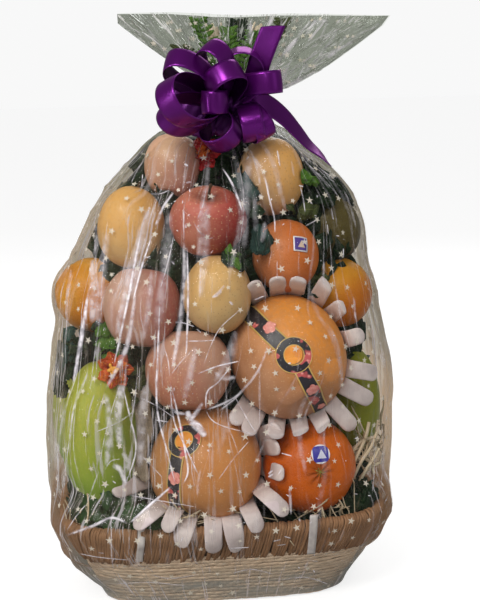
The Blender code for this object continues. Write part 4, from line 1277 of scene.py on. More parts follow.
def drawn_fold_highlights(heap, film_tree, fan_tree):
    """Painted highlights along the folds that the photograph shows."""
    for folds, tree in ((FRONT_FOLD_HIGHLIGHTS, film_tree), (FAN_FOLD_HIGHLIGHTS, fan_tree)):
        for width, strength, *pixels in folds:
            reach = sum(math.dist(a, b) for a, b in zip(pixels, pixels[1:]))
            spots = smooth_path([(x, y, 0.0) for x, y in pixels], max(8, int(reach / 2.5)))
            hits = [tree.ray_cast(CAMERA_PLACE, ray_through(x, y))[:2] for x, y, _ in spots]
            hits = [hit for hit in hits if hit[0] is not None]
            if len(hits) > 4:
                fold_highlight_strip(heap, hits, width * 0.001, 0.95 * strength)


def loose_fold_highlights(heap, film_tree, rng):
    """Painted highlights along loose folds up the film: the first ones in front, the others behind."""
    for k in range(LOOSE_FOLD_HIGHLIGHTS):
        behind = k >= LOOSE_HIGHLIGHTS_IN_FRONT
        turn = rng.uniform(-0.9, 3.9) if behind else rng.uniform(3.9, 5.5)
        foot = rng.uniform(0.03, 0.44)
        long = rng.choice([0.016, 0.035, 0.080, 0.150], p=[0.2, 0.3, 0.3, 0.2]) * rng.uniform(0.7, 1.3)
        lean, bend = rng.normal(0, 0.07) * long / 0.08, rng.normal(0, 0.006) * long / 0.08
        hits = []
        for share in np.linspace(0, 1, max(6, int(long / 0.003))):
            level = foot + long * share
            if level > 0.462:
                break
            way = turn + lean * share + bend * math.sin(math.pi * share)
            spot = bag_section(max(level, RIM_LEVEL), np.array([way]))[0]
            spot[2] = level
            hits.append(film_tree.find_nearest(spot)[:2])
        if len(hits) > 4:
            wide = rng.choice([0.0012, 0.0020, 0.0042, 0.0080])
            share = (1.0 if behind else 0.75) * (0.6 if wide > 0.006 else 1.0)
            fold_highlight_strip(heap, hits, wide, rng.uniform(0.15, 0.55) * share)


def glints(heap, film_tree, rng):
    """Short painted glints on the film: the first ones in front, the others all round."""
    for k in range(GLINTS):
        height = rng.uniform(0.02, 0.45)
        turn = rng.uniform(3.9, 5.5) if k < GLINTS_IN_FRONT else rng.uniform(0, TAU)
        spot = bag_section(max(height, RIM_LEVEL), np.array([turn]))[0]
        way = unit(rng.normal(0, 1, 3)) * rng.uniform(0.0010, 0.0030)
        middle = Vector((spot[0], spot[1], height))
        hits = [film_tree.find_nearest(middle + Vector(way * share))[:2] for share in np.linspace(-1, 1, 6)]
        fold_highlight_strip(heap, hits, rng.uniform(0.0010, 0.0024), rng.uniform(0.6, 1.0))


def fan_fold_highlights(heap, fan_tree, far_tree, rng):
    """Painted highlights along folds that run outwards in the two layers above the tie, the first ones in the
    front layer.
    """
    for k in range(FAN_CREASE_HIGHLIGHTS):
        front = k < FAN_CREASE_HIGHLIGHTS_IN_FRONT
        tree, spread, side = (
            (fan_tree, FAN_SPREAD_FRONT, -1.0) if front else (far_tree, FAN_SPREAD_BACK, 1.0)
        )
        across, share = 0.02 + 0.95 * rng.random() ** 1.8, rng.uniform(0.08, 0.92)
        run = np.linspace(0, 1, 9) * rng.uniform(0.05, 0.30)
        along = np.clip(across + run * rng.normal(0, 0.12), 0.01, 0.99)
        hits = [
            tree.find_nearest(spot)[:2]
            for spot in fan_points(along, np.clip(share + run, 0, 0.96), spread, side)
        ]
        width = rng.choice([0.0010, 0.0018, 0.0034, 0.0060])
        fade = 1.0 if across < 0.4 else 0.25 if across < 0.75 else 0.6
        fold_highlight_strip(heap, hits, width, rng.uniform(0.12, 0.50) * fade)


# All the painted fold highlights and glints, as one piece
def make_fold_highlights(film_tree, fan_tree, far_tree, finish):
    heap, rng = Heap(), np.random.default_rng(81)
    drawn_fold_highlights(heap, film_tree, fan_tree)
    loose_fold_highlights(heap, film_tree, rng)
    glints(heap, film_tree, rng)
    fan_fold_highlights(heap, fan_tree, far_tree, rng)
    return heap.made("film_folds", finish)


# How far the fan's right edge sags, at shares of the way out
FAN_EDGE_SAG = ((0.0, 0.3, 0.5, 0.7, 0.85, 0.95, 1.0), (0.0, 0.0068, 0.0045, 0.0036, 0.0046, 0.0055, 0.002))
FAN_LEFT_END = -0.0838


def fan_points(across, share, spread, side):
    """A fan of film: out from the tie to the level cut, bowed and pleated, with fine radial creases."""
    first, last = math.radians(FAN_FIRST_ANGLE), math.radians(FAN_LAST_ANGLE)
    angle = first + (last - first) * across
    cut = FAN_CUT_HEIGHT - 0.0015 + 0.0050 * across + FAN_CUT_WAVE * np.sin(FAN_CUT_WAVES * across)
    full = (cut - FAN_ROOT[1]) / np.sin(angle)
    near = (NECK_TOP + FAN_FOOT_GAP - FAN_ROOT[1]) / np.sin(angle)
    out = near + (full - near) * share
    sag = (FAN_SAG_RIGHT * (1.0 - across) ** 2 + 0.35 * FAN_SAG_LEFT * across**2) * np.sin(math.pi * share)
    sag = sag + (1.0 - across) ** 3 * np.interp(share, *FAN_EDGE_SAG)
    bow = np.sin(math.pi * across) ** 0.6
    pleat = FAN_PLEAT_DEPTH * share**0.8 * np.sin(TAU * FAN_PLEATS * across)
    ray = np.stack([across * 40, share * 1.2, np.full_like(across, side)], -1)
    fine = (crease(ray, 1.0, 41, 1.5) - 0.4) * 0.0026
    fine = fine + (crease(ray * np.array([1.6, 5.0, 1.0]), 1.0, 42, 1.2) - 0.5) * 0.0018
    x = np.maximum(FAN_ROOT[0] + out * np.cos(angle), FAN_LEFT_END - 0.0004 * share)
    y = side * (FAN_SIDE_GAP + (FAN_ROOT_BULGE + spread * share) * bow) + (pleat + fine * share) * bow
    return np.stack([x, y, FAN_ROOT[1] + out * np.sin(angle) - sag], -1)


def make_fan(name, spread, side, finish, inset=0.0):
    columns, rows = FAN_GRID
    run = [np.linspace(inset, 1 - inset, count) for count in FAN_GRID]
    across, share = np.meshgrid(*run, indexing="ij")
    points = fan_points(np.clip(across, 1e-6, 1 - 1e-6), share, spread, side)
    faces = net(columns, rows, ring=False)
    i, j = columns // 2, rows // 2
    ways = points[i + 1, j] - points[i, j], points[i, j + 1] - points[i, j]
    outward = np.cross(*ways)[1] * side
    faces = faces if outward < 0 else faces[:, ::-1]
    sheet = Heap()
    sheet.add(points, faces)
    return sheet.made(name, finish), BVHTree.FromPolygons(points.reshape(-1, 3).tolist(), faces.tolist())


# Fruit


def bump_at(t, place, reach):
    """A rounded rise of 1 about a place on the profile."""
    return np.exp(-(((t - place) / reach) ** 2))


def fruit_profile(kind, t, u):
    """Radius and height of a fruit of half size 1, from its stalk, t = 0, to its foot."""
    s, c = np.sin(t), np.cos(t)
    if kind == "apple":
        radius = s * (1 + 0.05 * np.cos(t - 0.5)) * (1 + 0.022 * np.cos(5 * u) * ease((t - 1.6) / 1.4))
        height = c - 0.34 * bump_at(t, 0, 0.40) + 0.24 * bump_at(t, math.pi, 0.36)
    elif kind == "pear":
        radius = s * (1 + 0.03 * np.cos(t - 2.2))
        height = 0.96 * c - 0.13 * bump_at(t, 0, 0.26) + 0.15 * bump_at(t, math.pi, 0.36)
    elif kind == "citrus":
        ribs = 0.020 * np.cos(9 * u)
        radius = s * (1 + ribs * bump_at(t, 0, 0.75))
        height = 0.97 * c - (0.07 + ribs) * bump_at(t, 0, 0.30) + 0.03 * bump_at(t, math.pi, 0.25)
    else:
        radius = s**0.94 * (1 + 0.07 * np.cos(t - 2.4))
        height = c + 0.03 * np.sin(2 * t)
    return radius / np.max(radius), height / np.max(np.abs(height))


SKIN_TREES = {}


def turned_to(axis):
    way = Vector(axis).normalized()
    return np.array(Vector((0, 0, 1)).rotation_difference(way).to_matrix())


def make_fruit(name, middle, radii, kind, axis, finish):
    rows, around = 62, 88
    t, u = np.linspace(0, math.pi, rows + 2)[1:-1][:, None], circle(around)[None, :]
    radius, height = fruit_profile(kind, t + 0 * u, u + 0 * t)
    shape = np.stack([radius * np.cos(u), radius * np.sin(u), height], -1).reshape(-1, 3)
    ends = np.array([[0, 0, height[0].mean()], [0, 0, height[-1].mean()]])
    shape = np.concatenate([shape, ends]) @ turned_to(axis).T
    seed = sum(map(ord, name))
    swell = 1 + 0.03 * (drift(shape + 7, 0.9, seed) - 0.5) + 0.01 * (drift(shape + 7, 0.3, seed + 1) - 0.5)
    points = np.asarray(middle) + shape * np.asarray(radii) * swell[:, None]
    faces = [tuple(f[::-1]) for f in net(rows, around)]
    top, foot, last = rows * around, rows * around + 1, (rows - 1) * around
    faces += [(top, k, (k + 1) % around) for k in range(around)]
    faces += [(foot, last + (k + 1) % around, last + k) for k in range(around)]
    uv = np.stack(np.broadcast_arrays(u / TAU, t / math.pi), -1).reshape(-1, 2)
    body = Heap()
    body.add(points, faces, np.concatenate([uv, [[0, 0], [0, 1]]]))
    SKIN_TREES[name] = BVHTree.FromPolygons(points.tolist(), faces)
    return body.made("fruit_" + name, finish)


def stalk_place(middle, radii, kind, axis, lift):
    """Where a fruit's stalk leaves its skin, and the way it points."""
    t = np.linspace(0, math.pi, 60)[1:, None]
    height = fruit_profile(kind, t, np.zeros_like(t))[1]
    tip = turned_to(axis) @ np.array([0, 0, height[0, 0] + lift])
    return np.asarray(middle) + tip * np.asarray(radii), unit(np.asarray(axis, float))


# Stalks: their lengths by kind of fruit, and the small green button of a citrus fruit
STALK_LENGTHS, SHORT_STALK = {"apple": 0.016, "pear": 0.012}, 0.007
STALK_RADII = np.concatenate([np.linspace(0.0017, 0.0012, 7), [0.0019, 0.0012]])
BUTTON_RADII, LOBE_RADII = (0.0032, 0.0030, 0.0024, 0.0016, 0.0007), np.linspace(0.0024, 0.0009, 6)


def make_button(heap, foot, way, side):
    over = np.cross(way, side)
    for k in range(6):
        out = side * math.cos(k * math.pi / 3) + over * math.sin(k * math.pi / 3)
        knots = [
            foot + way * rise + out * reach for rise,
            reach in ((0.0016, 0.0), (0.0026, 0.003), (0.0014, 0.0064))
        ]
        heap.add(*tube(smooth_path(knots, 5), LOBE_RADII, 7, 0.5, way), shade=k / 6)
    knots = [foot, foot + way * 0.0028, foot + way * 0.0038]
    heap.add(*tube(smooth_path(knots, 4), BUTTON_RADII, 10, 1.0, side))


def make_stalks(finish, calyx_finish):
    """Woody stalks in the apples and pears, and small green buttons on the citrus fruit."""
    stalks, buttons = Heap(), Heap()
    for name, (middle, radii, kind, axis, _) in FRUIT.items():
        foot, way = stalk_place(middle, radii, kind, axis, -0.05)
        side = unit(np.cross(way, (0.3, 0.2, 0.9)))
        if kind == "citrus":
            make_button(buttons, foot, way, side)
            continue
        lean = unit(way + 0.25 * np.array([math.sin(len(name)), 0.0, math.cos(len(name))]))
        half = STALK_LENGTHS.get(kind, SHORT_STALK) * 0.6
        path = smooth_path([foot, foot + way * half, foot + way * half + lean * half], 8)
        stalks.add(*tube(path, STALK_RADII, 9, 1.0, side), shade=0.4)
    return stalks.made("fruit_stalks", finish), buttons.made("citrus_buttons", calyx_finish)


# On the fruit: labels, stickers and foam collars


def skin_point(name, across, down, lift):
    """The point of a fruit's skin seen at a pixel, lifted off it."""
    ray, middle = ray_through(across, down), Vector(FRUIT[name][0])
    hit, normal = SKIN_TREES[name].ray_cast(CAMERA_PLACE, ray)[:2]
    if hit is None:
        return on_skin(name, CAMERA_PLACE + ray * ((middle - CAMERA_PLACE).dot(ray) / ray.dot(ray)), lift)
    return np.array(hit + normal * lift)


def on_skin(name, point, lift):
    """The point of a fruit's skin on the line from its middle to the given one."""
    middle = Vector(FRUIT[name][0])
    way = (Vector(point) - middle).normalized()
    hit, normal = SKIN_TREES[name].ray_cast(middle + way * 0.3, -way)[:2]
    return np.array(hit + normal * lift)


def skin_frame(name, across, down, lift):
    """A point of a fruit's skin seen at a pixel, with the ways aside and up along the skin."""
    centre = skin_point(name, across, down, lift)
    out = unit(centre - np.array(FRUIT[name][0]))
    side = unit(np.cross(out, (0.0, 0.1, 1.0)))
    return centre, side, np.cross(side, out)


def make_band(heap, name, pixels, width, lift, beyond=False):
    """A paper band laid on a fruit along the pixels, running on behind it."""
    path = np.array([skin_point(name, x, y, lift) for x, y in pixels])
    for _ in range(4 if beyond else 0):
        path = np.concatenate([path, [on_skin(name, 2 * path[-1] - path[-2], lift)]])
    path = smooth_path(path, 36)
    side = unit(np.cross(unit(np.gradient(path, axis=0)), unit(path - np.array(FRUIT[name][0]))))
    rows = [
        [on_skin(name, p + s * share * width, lift) for p, s in zip(path, side)]
        for share in np.linspace(-0.5, 0.5, 9)
    ]
    heap.add(*thin(np.array(rows).transpose(1, 0, 2), 0.0003))


def make_disc(heap, name, across, down, inner, outer, lift, lobes=0.0):
    """A round patch, a ring or a five-lobed one, on a fruit's skin."""
    centre, side, up = skin_frame(name, across, down, lift)
    around, steps = 40, 7
    turn, radii = circle(around), np.linspace(inner, outer, steps)[:, None]
    far = radii * (1 - lobes + lobes * np.abs(np.cos(2.5 * turn)))
    ways = side * np.cos(turn)[:, None] + up * np.sin(turn)[:, None]
    grid = [[on_skin(name, centre + way * reach, lift) for way, reach in zip(ways, row)] for row in far]
    if inner > 0:
        uv = np.stack(np.broadcast_arrays(np.linspace(0, 1, steps)[:, None], turn / TAU), -1)
    else:
        share = 0.5 * radii / outer
        uv = np.stack([0.5 + share * np.cos(turn), 0.5 + share * np.sin(turn)], -1)
    heap.add(grid, net(steps, around), uv)


def make_square(heap, name, across, down, half, tilt, lift):
    centre, side, up = skin_frame(name, across, down, lift)
    side, up = side * math.cos(tilt) + up * math.sin(tilt), up * math.cos(tilt) - side * math.sin(tilt)
    span = np.linspace(-half, half, 9)
    heap.add(*thin([[on_skin(name, centre - side * x + up * y, lift) for x in span] for y in span], 0.0003))


def foam_slab(heap, path, normal, width, thick, outside=False):
    """A foam finger along a path: flat, soft-edged and round at its tip, and about as wide as given."""
    path = smooth_path(path, 22)
    along = unit(np.gradient(path, axis=0))
    run = np.concatenate([[0], np.cumsum(np.linalg.norm(np.diff(path, axis=0), axis=1))])
    rounded = np.clip(1 - (1 - np.clip((run[-1] - run) / (width * 0.5), 0, 1)) ** 2, 0.02, 1)
    half = width / 2 * np.sqrt(rounded) * (1.12 - 0.16 * run / run[-1])
    side = unit(np.cross(along, normal))
    over = np.cross(side, along)
    cx, cy = (np.sign(v) * np.abs(v) ** 0.6 for v in (np.cos(circle(16)), np.sin(circle(16))))
    depth = thick / 2 * np.clip(0.35 + half / width * 1.5, 0.3, 1.0)
    rings = path[:, None] + side[:, None] * (cx * half[:, None])[..., None]
    rings = rings + over[:, None] * (cy * depth[:, None])[..., None]
    rings = rings + 0.0006 * (drift(rings + 3, 0.012, 71)[..., None] - 0.5) * over[:, None]
    heap.add(rings if outside else inside_film(rings.reshape(-1, 3), 0.0045), shell(len(path), 16, False))


def make_finger(heap, name, tip_pixel, tip_depth, width=0.0165, start=108.0):
    """A foam finger: from behind the fruit, along its side and out to a rounded tip."""
    middle, reach = np.array(FRUIT[name][0]), float(np.mean(FRUIT[name][1])) + 0.0024
    facing, tip = unit(np.array(BACK)), at_pixel(*tip_pixel, tip_depth)
    outward = unit((tip - middle) - facing * ((tip - middle) @ facing))

    def beside(angle, distance):
        return (
            middle
            + (math.cos(math.radians(angle)) * facing + math.sin(math.radians(angle)) * outward) * distance
        )

    edge = beside(start - 18, reach + 0.003)
    path = [
        beside(start + 24, reach), beside(start, reach), edge, edge + (tip - edge) * 0.55 + facing * 0.004,
        tip
    ]
    foam_slab(heap, path, facing + 0.15 * outward, width, 0.0040)


def on_border(pixel, lift):
    """The point seen at a pixel, lifted off the slope of the border in front."""
    place = at_pixel(*pixel, -0.110)
    for _ in range(3):
        half_depth = tub_size(min(place[2], TUB_TOP))[1]
        place = at_pixel(*pixel, -(half_depth + BORDER_THICKNESS + lift))
    return place


def make_rim_finger(heap, root_pixel, tip_pixel, width):
    """A foam finger that lies over the basket's rim and hangs down outside it."""
    root_pixel, tip_pixel = np.array(root_pixel), np.array(tip_pixel)
    root, over = at_pixel(*root_pixel, -0.088), at_pixel(*(root_pixel * 0.7 + tip_pixel * 0.3), -0.1090)
    root[2], over[2] = max(root[2], RIM_LEVEL + 0.0060), max(over[2], RIM_LEVEL + 0.0034)
    bend, tip = on_border(root_pixel * 0.42 + tip_pixel * 0.58, 0.0032), on_border(tip_pixel, 0.0028)
    path = [root - FRONTWARD * 0.02 + (root - over) * 0.5, root, over, bend, tip]
    foam_slab(heap, path, np.array([0.0, -0.75, 0.65]), width, 0.0026, True)


# Leaves, flowers and straw


def leaf_grid(foot, tip, half_width, bend, face, teeth=7, wave=0.0016, seed=0):
    """A leaf blade from foot to tip, facing a way, with a toothed edge and a wavy surface."""
    foot, face = np.asarray(foot, float), np.asarray(face, float)
    along = np.asarray(tip, float) - foot
    face = unit(face - unit(along) * (unit(along) @ face))
    side = unit(np.cross(along, face))
    rows = []
    for t in np.linspace(0, 1, 22):
        width = half_width * (math.sin(math.pi * t**0.85) ** 0.8 * (1 - 0.15 * t)) + 0.0006
        width *= 1 + 0.12 * math.sin(t * teeth * TAU) * (1 if 0.08 < t < 0.95 else 0)
        share = np.linspace(-1, 1, 9)[:, None]
        lift = bend * math.sin(math.pi * t) - 0.18 * width * abs(share)
        lift = lift + wave * np.sin(9 * t + 2.5 * share + seed) * abs(share)
        rows.append(foot + along * t + side * width * share + face * lift)
    return np.array(rows)


def make_leaf_bunch(heap, pixel, depth, length, count, seed, reach):
    """A thick bunch of leaves about a spot, turned all ways, its reach given in pixels."""
    rng = np.random.default_rng(seed)
    front, across, up = np.array(BACK), np.array(ACROSS), np.array(UPWARD)
    for k in range(count):
        x, y = (pixel[axis] + rng.uniform(-1, 1) * reach[axis] for axis in (0, 1))
        spot = at_pixel(x, y, depth + rng.uniform(-0.004, 0.006))
        turn = rng.uniform(0, TAU)
        out = across * math.sin(turn) + up * math.cos(turn)
        size = length * rng.uniform(0.7, 1.2)
        tip, foot = spot + out * size * 0.5 + front * rng.uniform(-0.008, 0.006), spot - out * size * 0.5
        face = front + 0.55 * rng.normal(0, 1, 3)
        blade = leaf_grid(foot, tip, size * rng.uniform(0.28, 0.40), 0.003, face, 6, 0.0016, k)
        heap.add(*thin(blade, 0.0005), shade=rng.random())


def make_flower(petals, hearts, root, radius, seed):
    """A fabric flower: layers of petals about a heart of small stamens."""
    rng = np.random.default_rng(seed)
    front, across, up = np.array(BACK), np.array(ACROSS), np.array(UPWARD)
    for layer in range(3):
        count, size = 7 - layer, radius * (1 - 0.25 * layer)
        for k in range(count):
            turn = TAU * (k + 0.5 * layer) / count + rng.normal(0, 0.10)
            out = across * math.cos(turn) + up * math.sin(turn)
            tip = root + out * size + front * (0.001 + 0.0025 * layer)
            grid = leaf_grid(
                root + front * 0.001 * layer, tip, size * 0.36, -0.002, front - out * 0.4, 3, 0.0014, k
            )
            petals.add(*thin(grid, 0.0005), shade=rng.random())
    for _ in range(26):
        way = across * rng.normal(0, 0.55) + up * rng.normal(0, 0.55) + front
        path = [root + front * 0.003 + way * rise for rise in (0.0, 0.003, 0.006)]
        stamen = tube(smooth_path(path, 4), [0.0007, 0.0007, 0.0008, 0.0018, 0.0008], 6, 1.0, across)
        hearts.add(*stamen, shade=rng.random())


def make_straw(heap, pixel, depth, size, count, seed):
    """Raffia: thin flat strands that curl in a loose tangle."""
    rng = np.random.default_rng(seed)
    middle, mean = at_pixel(*pixel, depth), float(np.mean(size))
    for _ in range(count):
        start = middle + rng.normal(0, 1, 3) * np.array(size) * 0.6
        way = unit(rng.normal(0, 1, 3) * np.array([1.0, 0.35, 1.0]))
        bow = unit(rng.normal(0, 1, 3) * np.array([1.0, 0.4, 1.0]))
        long = rng.uniform(0.7, 1.5) * mean * 2.2
        knots = [
            start + way * long * s + bow * long * math.sin(math.pi * s) * 0.3
            for s in (-0.5, -0.2, 0.1, 0.5)
        ]
        heap.add(*tube(smooth_path(knots, 9), 0.0012, 5, 0.4, (0.3, 0.4, 0.87)), shade=rng.random())


def core_size(height):
    """The leafy filling's half width, half depth and middle at a height, before its lumps."""
    wide, middle, deep = (smooth_through(BAG_STATIONS, column, height) for column in (1, 2, 3))
    return wide * 0.82, min(0.040 * (1 - 0.35 * float(ease((height - 0.30) / 0.16))), deep * 0.55), middle


def make_core(finish):
    """The leafy filling between the front and the back fruit, painted near-black: its dark leaves and painted
    shade in the deep gaps between the fruit.
    """
    around, heights = 150, np.linspace(0.070, 0.448, 120)
    rows = []
    for height in heights:
        wide, deep, middle = core_size(height)
        x, y = ring_at(wide - 0.004, deep, 2.3, circle(around))
        rows.append(np.stack([x + middle, y, np.full(around, height)], -1))
    shape = np.array(rows)
    out = unit(shape * np.array([1, 1, 0]))
    lumps = 0.014 * (crease(shape + 5, 0.030, 51) - 0.6) + 0.006 * (crease(shape + 5, 0.012, 52) - 0.5)
    heap = Heap()
    heap.add(shape + out * lumps[..., None], shell(len(heights), around))
    return heap.made("leaf_filling", finish)


def make_litter(finish):
    """Small leaves laid all over the filling, facing out, and a bed of them in the tub."""
    blade = Heap()
    blade.add(
        *thin(leaf_grid((0, -0.014, 0), (0, 0.016, 0), 0.0085, 0.002, (0, 0, 1), 4)[::3, ::2], 0.0005)
    )
    rng = np.random.default_rng(61)
    places, turns = [], []
    for _ in range(760):
        height = rng.uniform(0.085, 0.445)
        side, x = -1 if rng.random() < 0.5 else 1, rng.uniform(-1, 1)
        wide, deep, middle = core_size(height)
        y = side * deep * (1 - abs(x) ** 2.3) ** 0.43
        places.append((x * wide + middle, y + side * rng.uniform(0.0, 0.008), height))
        lean = math.radians(90) * -side + rng.normal(0, 0.45)
        turns.append((lean, rng.uniform(-3.1, 3.1), rng.normal(0, 0.5) + x * side * 0.6))
    half_width, half_depth = 0.93 * TUB_TOP_HALF_WIDTH - 0.012, 0.93 * TUB_TOP_HALF_DEPTH - 0.012
    for _ in range(230):
        turn, share = rng.uniform(0, TAU), math.sqrt(rng.random())
        x, y = ring_at(half_width, half_depth, TUB_SQUARENESS, turn)
        level = RIM_LEVEL - 0.015 + rng.uniform(-0.004, 0.006) + (0.010 if share < 0.8 else 0.0)
        places.append((x * share, y * share, level))
        turns.append((rng.normal(0, 0.35), rng.normal(0, 0.35), rng.uniform(-3.1, 3.1)))
    base = points_base("litter_points", places, turns, rng.uniform(0.9, 1.6, len(places)))
    litter = lay("leaf_litter", blade.made("litter_leaf"), base, finish, 13)
    spots = np.empty(3 * len(litter.data.vertices))
    litter.data.vertices.foreach_get("co", spots)
    litter.data.vertices.foreach_set("co", inside_film(spots.reshape(-1, 3), 0.0120).ravel())
    return litter


# Ribbon


def ribbon_strip(heap, path, across, widths, centre, cup=0.0006):
    """A ribbon along a path, slightly cupped, its face toward the centre marked as the inner one, which is
    painted dark as shade.
    """
    path, across = np.asarray(path), np.asarray(across)
    face = unit(np.cross(across, unit(np.gradient(path, axis=0))))
    rows = [
        path + across * (widths * share / 2)[:, None] + face * (cup * (1 - share**2))
        for share in np.linspace(-1, 1, 9)
    ]
    grid = np.array(rows).transpose(1, 0, 2)
    points, faces, uv = thin(grid, RIBBON_THICKNESS)
    front, back = points[: len(points) // 2], points[len(points) // 2 :]
    outer = np.linalg.norm(front - centre, axis=1) >= np.linalg.norm(back - centre, axis=1)
    # Inner faces marked for painted shade
    heap.add(points, faces, uv, np.concatenate([~outer, outer]).astype(float) * 0.75)


def make_loop(heap, right, up, reach, opening, direction, lean, roll):
    """One ribbon loop: out from the knot and back, narrow at both ends."""
    turn, tip, spin = (math.radians(v) for v in (direction, lean, roll))
    root = np.array(LOOP_ROOT) + np.array([right, 0.0, up])
    out = np.array([math.cos(turn), 0.0, math.sin(turn)]) * math.cos(tip) + FRONTWARD * math.sin(tip)
    beside = np.array([-math.sin(turn), 0.0, math.cos(turn)])
    opens = beside * math.cos(spin) + np.cross(out, beside) * math.sin(spin)
    steps = np.linspace(0, 1, 73)
    angle = TAU * (LOOP_END_SHARE + (1 - 2 * LOOP_END_SHARE) * steps)
    along = reach * (1 - np.cos(angle)) / 2
    aside = opening / 2 / LOOP_WIDEST * np.sin(angle) * np.sin(angle / 2)
    path = root + out * along[:, None] + opens * aside[:, None]
    widths = RIBBON_WIDTH * (0.42 + 0.58 * ease(np.minimum(steps, 1 - steps) / 0.13))
    across = np.broadcast_to(unit(np.cross(out, opens)), path.shape)
    ribbon_strip(heap, path, across, widths, root + out * reach * 0.6)


def make_tail(heap, points, turns, slant):
    """A ribbon tail that turns along its way and ends in a slanted cut."""
    path = smooth_path(points, 64)
    along = unit(np.gradient(path, axis=0))
    turn = np.radians(np.linspace(*turns, 65))[:, None]
    level = unit(np.cross(along, FRONTWARD))
    across = level * np.cos(turn) + np.cross(level, along) * np.sin(turn)
    side = path[:, None] + across[:, None] * (np.linspace(-1, 1, 9) * RIBBON_WIDTH / 2)[None, :, None]
    length = np.linalg.norm(np.diff(path, axis=0), axis=1).sum()
    run, grid = np.linspace(0, 1, 65), np.empty_like(side)
    for j, cut in enumerate(slant * np.linspace(1, 0, 9)):
        for k in range(3):
            grid[:, j, k] = np.interp(run * (1 - cut / length), run, side[:, j, k])
    heap.add(*thin(grid, RIBBON_THICKNESS), shade=0.12)


# Lumps beside the knot where the loops gather, painted near-black as the shade in the bow's middle: pixel,
# depth and half sizes
SHADE_LUMPS = (
    ((208, 100), -0.042, (0.026, 0.01, 0.019)), ((203, 122), -0.044, (0.019, 0.008, 0.015)),
    ((192, 108), -0.046, (0.018, 0.007, 0.013)), ((223, 122), -0.044, (0.015, 0.007, 0.014)),
    ((187, 92), -0.046, (0.013, 0.007, 0.012))
)
TAILS = ((UP_TAIL, (20.0, 6.0), 0.0095), (SHOULDER_TAIL, (8.0, 84.0), 0.0100))


def make_bow(finish):
    heap = Heap()
    for loop in LOOPS.values():
        make_loop(heap, *loop)
    for tail in TAILS:
        make_tail(heap, *tail)
    knot, turn = [], circle(KNOT_AROUND)
    for tilt in math.pi * np.arange(1, KNOT_ROWS + 1) / (KNOT_ROWS + 1):
        gather = math.sin(tilt) * (1 + 0.06 * np.sin(9 * turn + 3 * math.sin(2 * tilt)))
        x, y = 0.8 * KNOT_RADII[0] * np.cos(turn) * gather, KNOT_RADII[1] * np.sin(turn) * gather
        knot.append(np.stack([x, y, np.full(KNOT_AROUND, -0.8 * KNOT_RADII[2] * math.cos(tilt))], -1))
    knot, faces = np.array(knot), shell(KNOT_ROWS, KNOT_AROUND)
    # The knot, painted near-black as shade
    heap.add(np.array(KNOT) + knot, faces, shade=0.9)
    # Near-black lumps of painted shade beside the knot
    gathered = knot / (np.array((0.8, 1.0, 0.8)) * KNOT_RADII)
    for pixel, depth, size in SHADE_LUMPS:
        heap.add(at_pixel(*pixel, depth) + gathered * np.array(size), faces, shade=0.95)
    turn, wound = circle(TIE_AROUND), net(TIE_SECTION, TIE_AROUND, loop=True)
    for level, radius in ((-0.0026, TIE_RADIUS), (0.0028, TIE_RADIUS + 0.0003)):
        ring = []
        for a in circle(TIE_SECTION):
            r = radius + 0.0007 * math.cos(a) + 0.0003 * np.sin(24 * turn)
            z = np.full(TIE_AROUND, KNOT[2] + level + 0.0028 * math.sin(a))
            ring.append(np.stack([FAN_ROOT[0] + r * np.cos(turn), r * np.sin(turn), z], -1))
        heap.add(np.array(ring), [tuple(f[::-1]) for f in wound], shade=0.3)
    return heap.made("ribbon_bow", finish)


# Everything together


make_camera()

woven_finish = strand_finish("seagrass_weave", *tones((255, 236, 214), (230, 194, 162), (166, 130, 102)))
border_finish = strand_finish("seagrass_wrap", *tones((190, 142, 104), (120, 84, 56), (60, 38, 24)))
straw_finish = strand_finish("raffia", *tones((240, 224, 196), (206, 182, 148), (160, 132, 100)))
wall_finish = plain_finish("basket_shadow_wall", (92, 64, 44), (68, 46, 30), 120.0, 0.8)
# The filling's near-black colour is partly painted shade in the gaps between the fruit
filling = plain_finish("filling_dark_painted_shade", (18, 26, 18), (8, 12, 10), 60.0, 0.6, 0.6)
heart_yellow = plain_finish("flower_heart", (244, 182, 62), (220, 140, 40), 300.0, 0.5)
stalk_finish = plain_finish("stalk_brown", (92, 66, 42), (62, 44, 30), 400.0, 0.7, 0.6)
calyx_finish = plain_finish("calyx_olive", (150, 140, 52), (112, 104, 44), 400.0, 0.6, 0.6)

# Film: where its streaks run from, its crinkles, its colours by side, and its milky shares, which carry
# painted sheen and highlights
AROUND_BAG = {"Centre X": 0.008, "Centre Z": 0.0, "Fan": 0.0, "Count": 15.0, "Drift": 7.0}
OUT_OF_TIE = {"Centre X": FAN_ROOT[0], "Centre Z": FAN_ROOT[1], "Fan": 1.0, "Count": 12.0, "Drift": 12.0}
BAG_CRINKLES = {"Scale": 34.0, "Stretch": 0.18, "Line": 0.04}
FAN_CRINKLES = {"Scale": 44.0, "Stretch": 0.6, "Line": 0.05}
# Colours of the film's sides: left, right, low right (a warm painted reflection), top and over the border
BAG_SIDES = tones((200, 182, 156), (180, 163, 138), (250, 214, 176), (140, 140, 118), (158, 116, 78))
FRONT_SIDES, BACK_SIDES = [tone(124, 130, 114)] * 5, [tone(108, 114, 98)] * 5
# Milky shares: even, left, streaks at the left, streaks all over, at a slant, fold lines and inner face; the
# left, streak and fold-line shares are painted sheen and highlights
BAG_VEILS = (0.003, 0.030, 0.40, 0.07, 0.55, 0.12, 0.94)
FRONT_VEILS, BACK_VEILS = (0.01, 0.0, 0.10, 0.90, 0.12, 0.60, 0.0), (0.18, 0.0, 0.10, 0.90, 0.15, 0.34, 0.0)
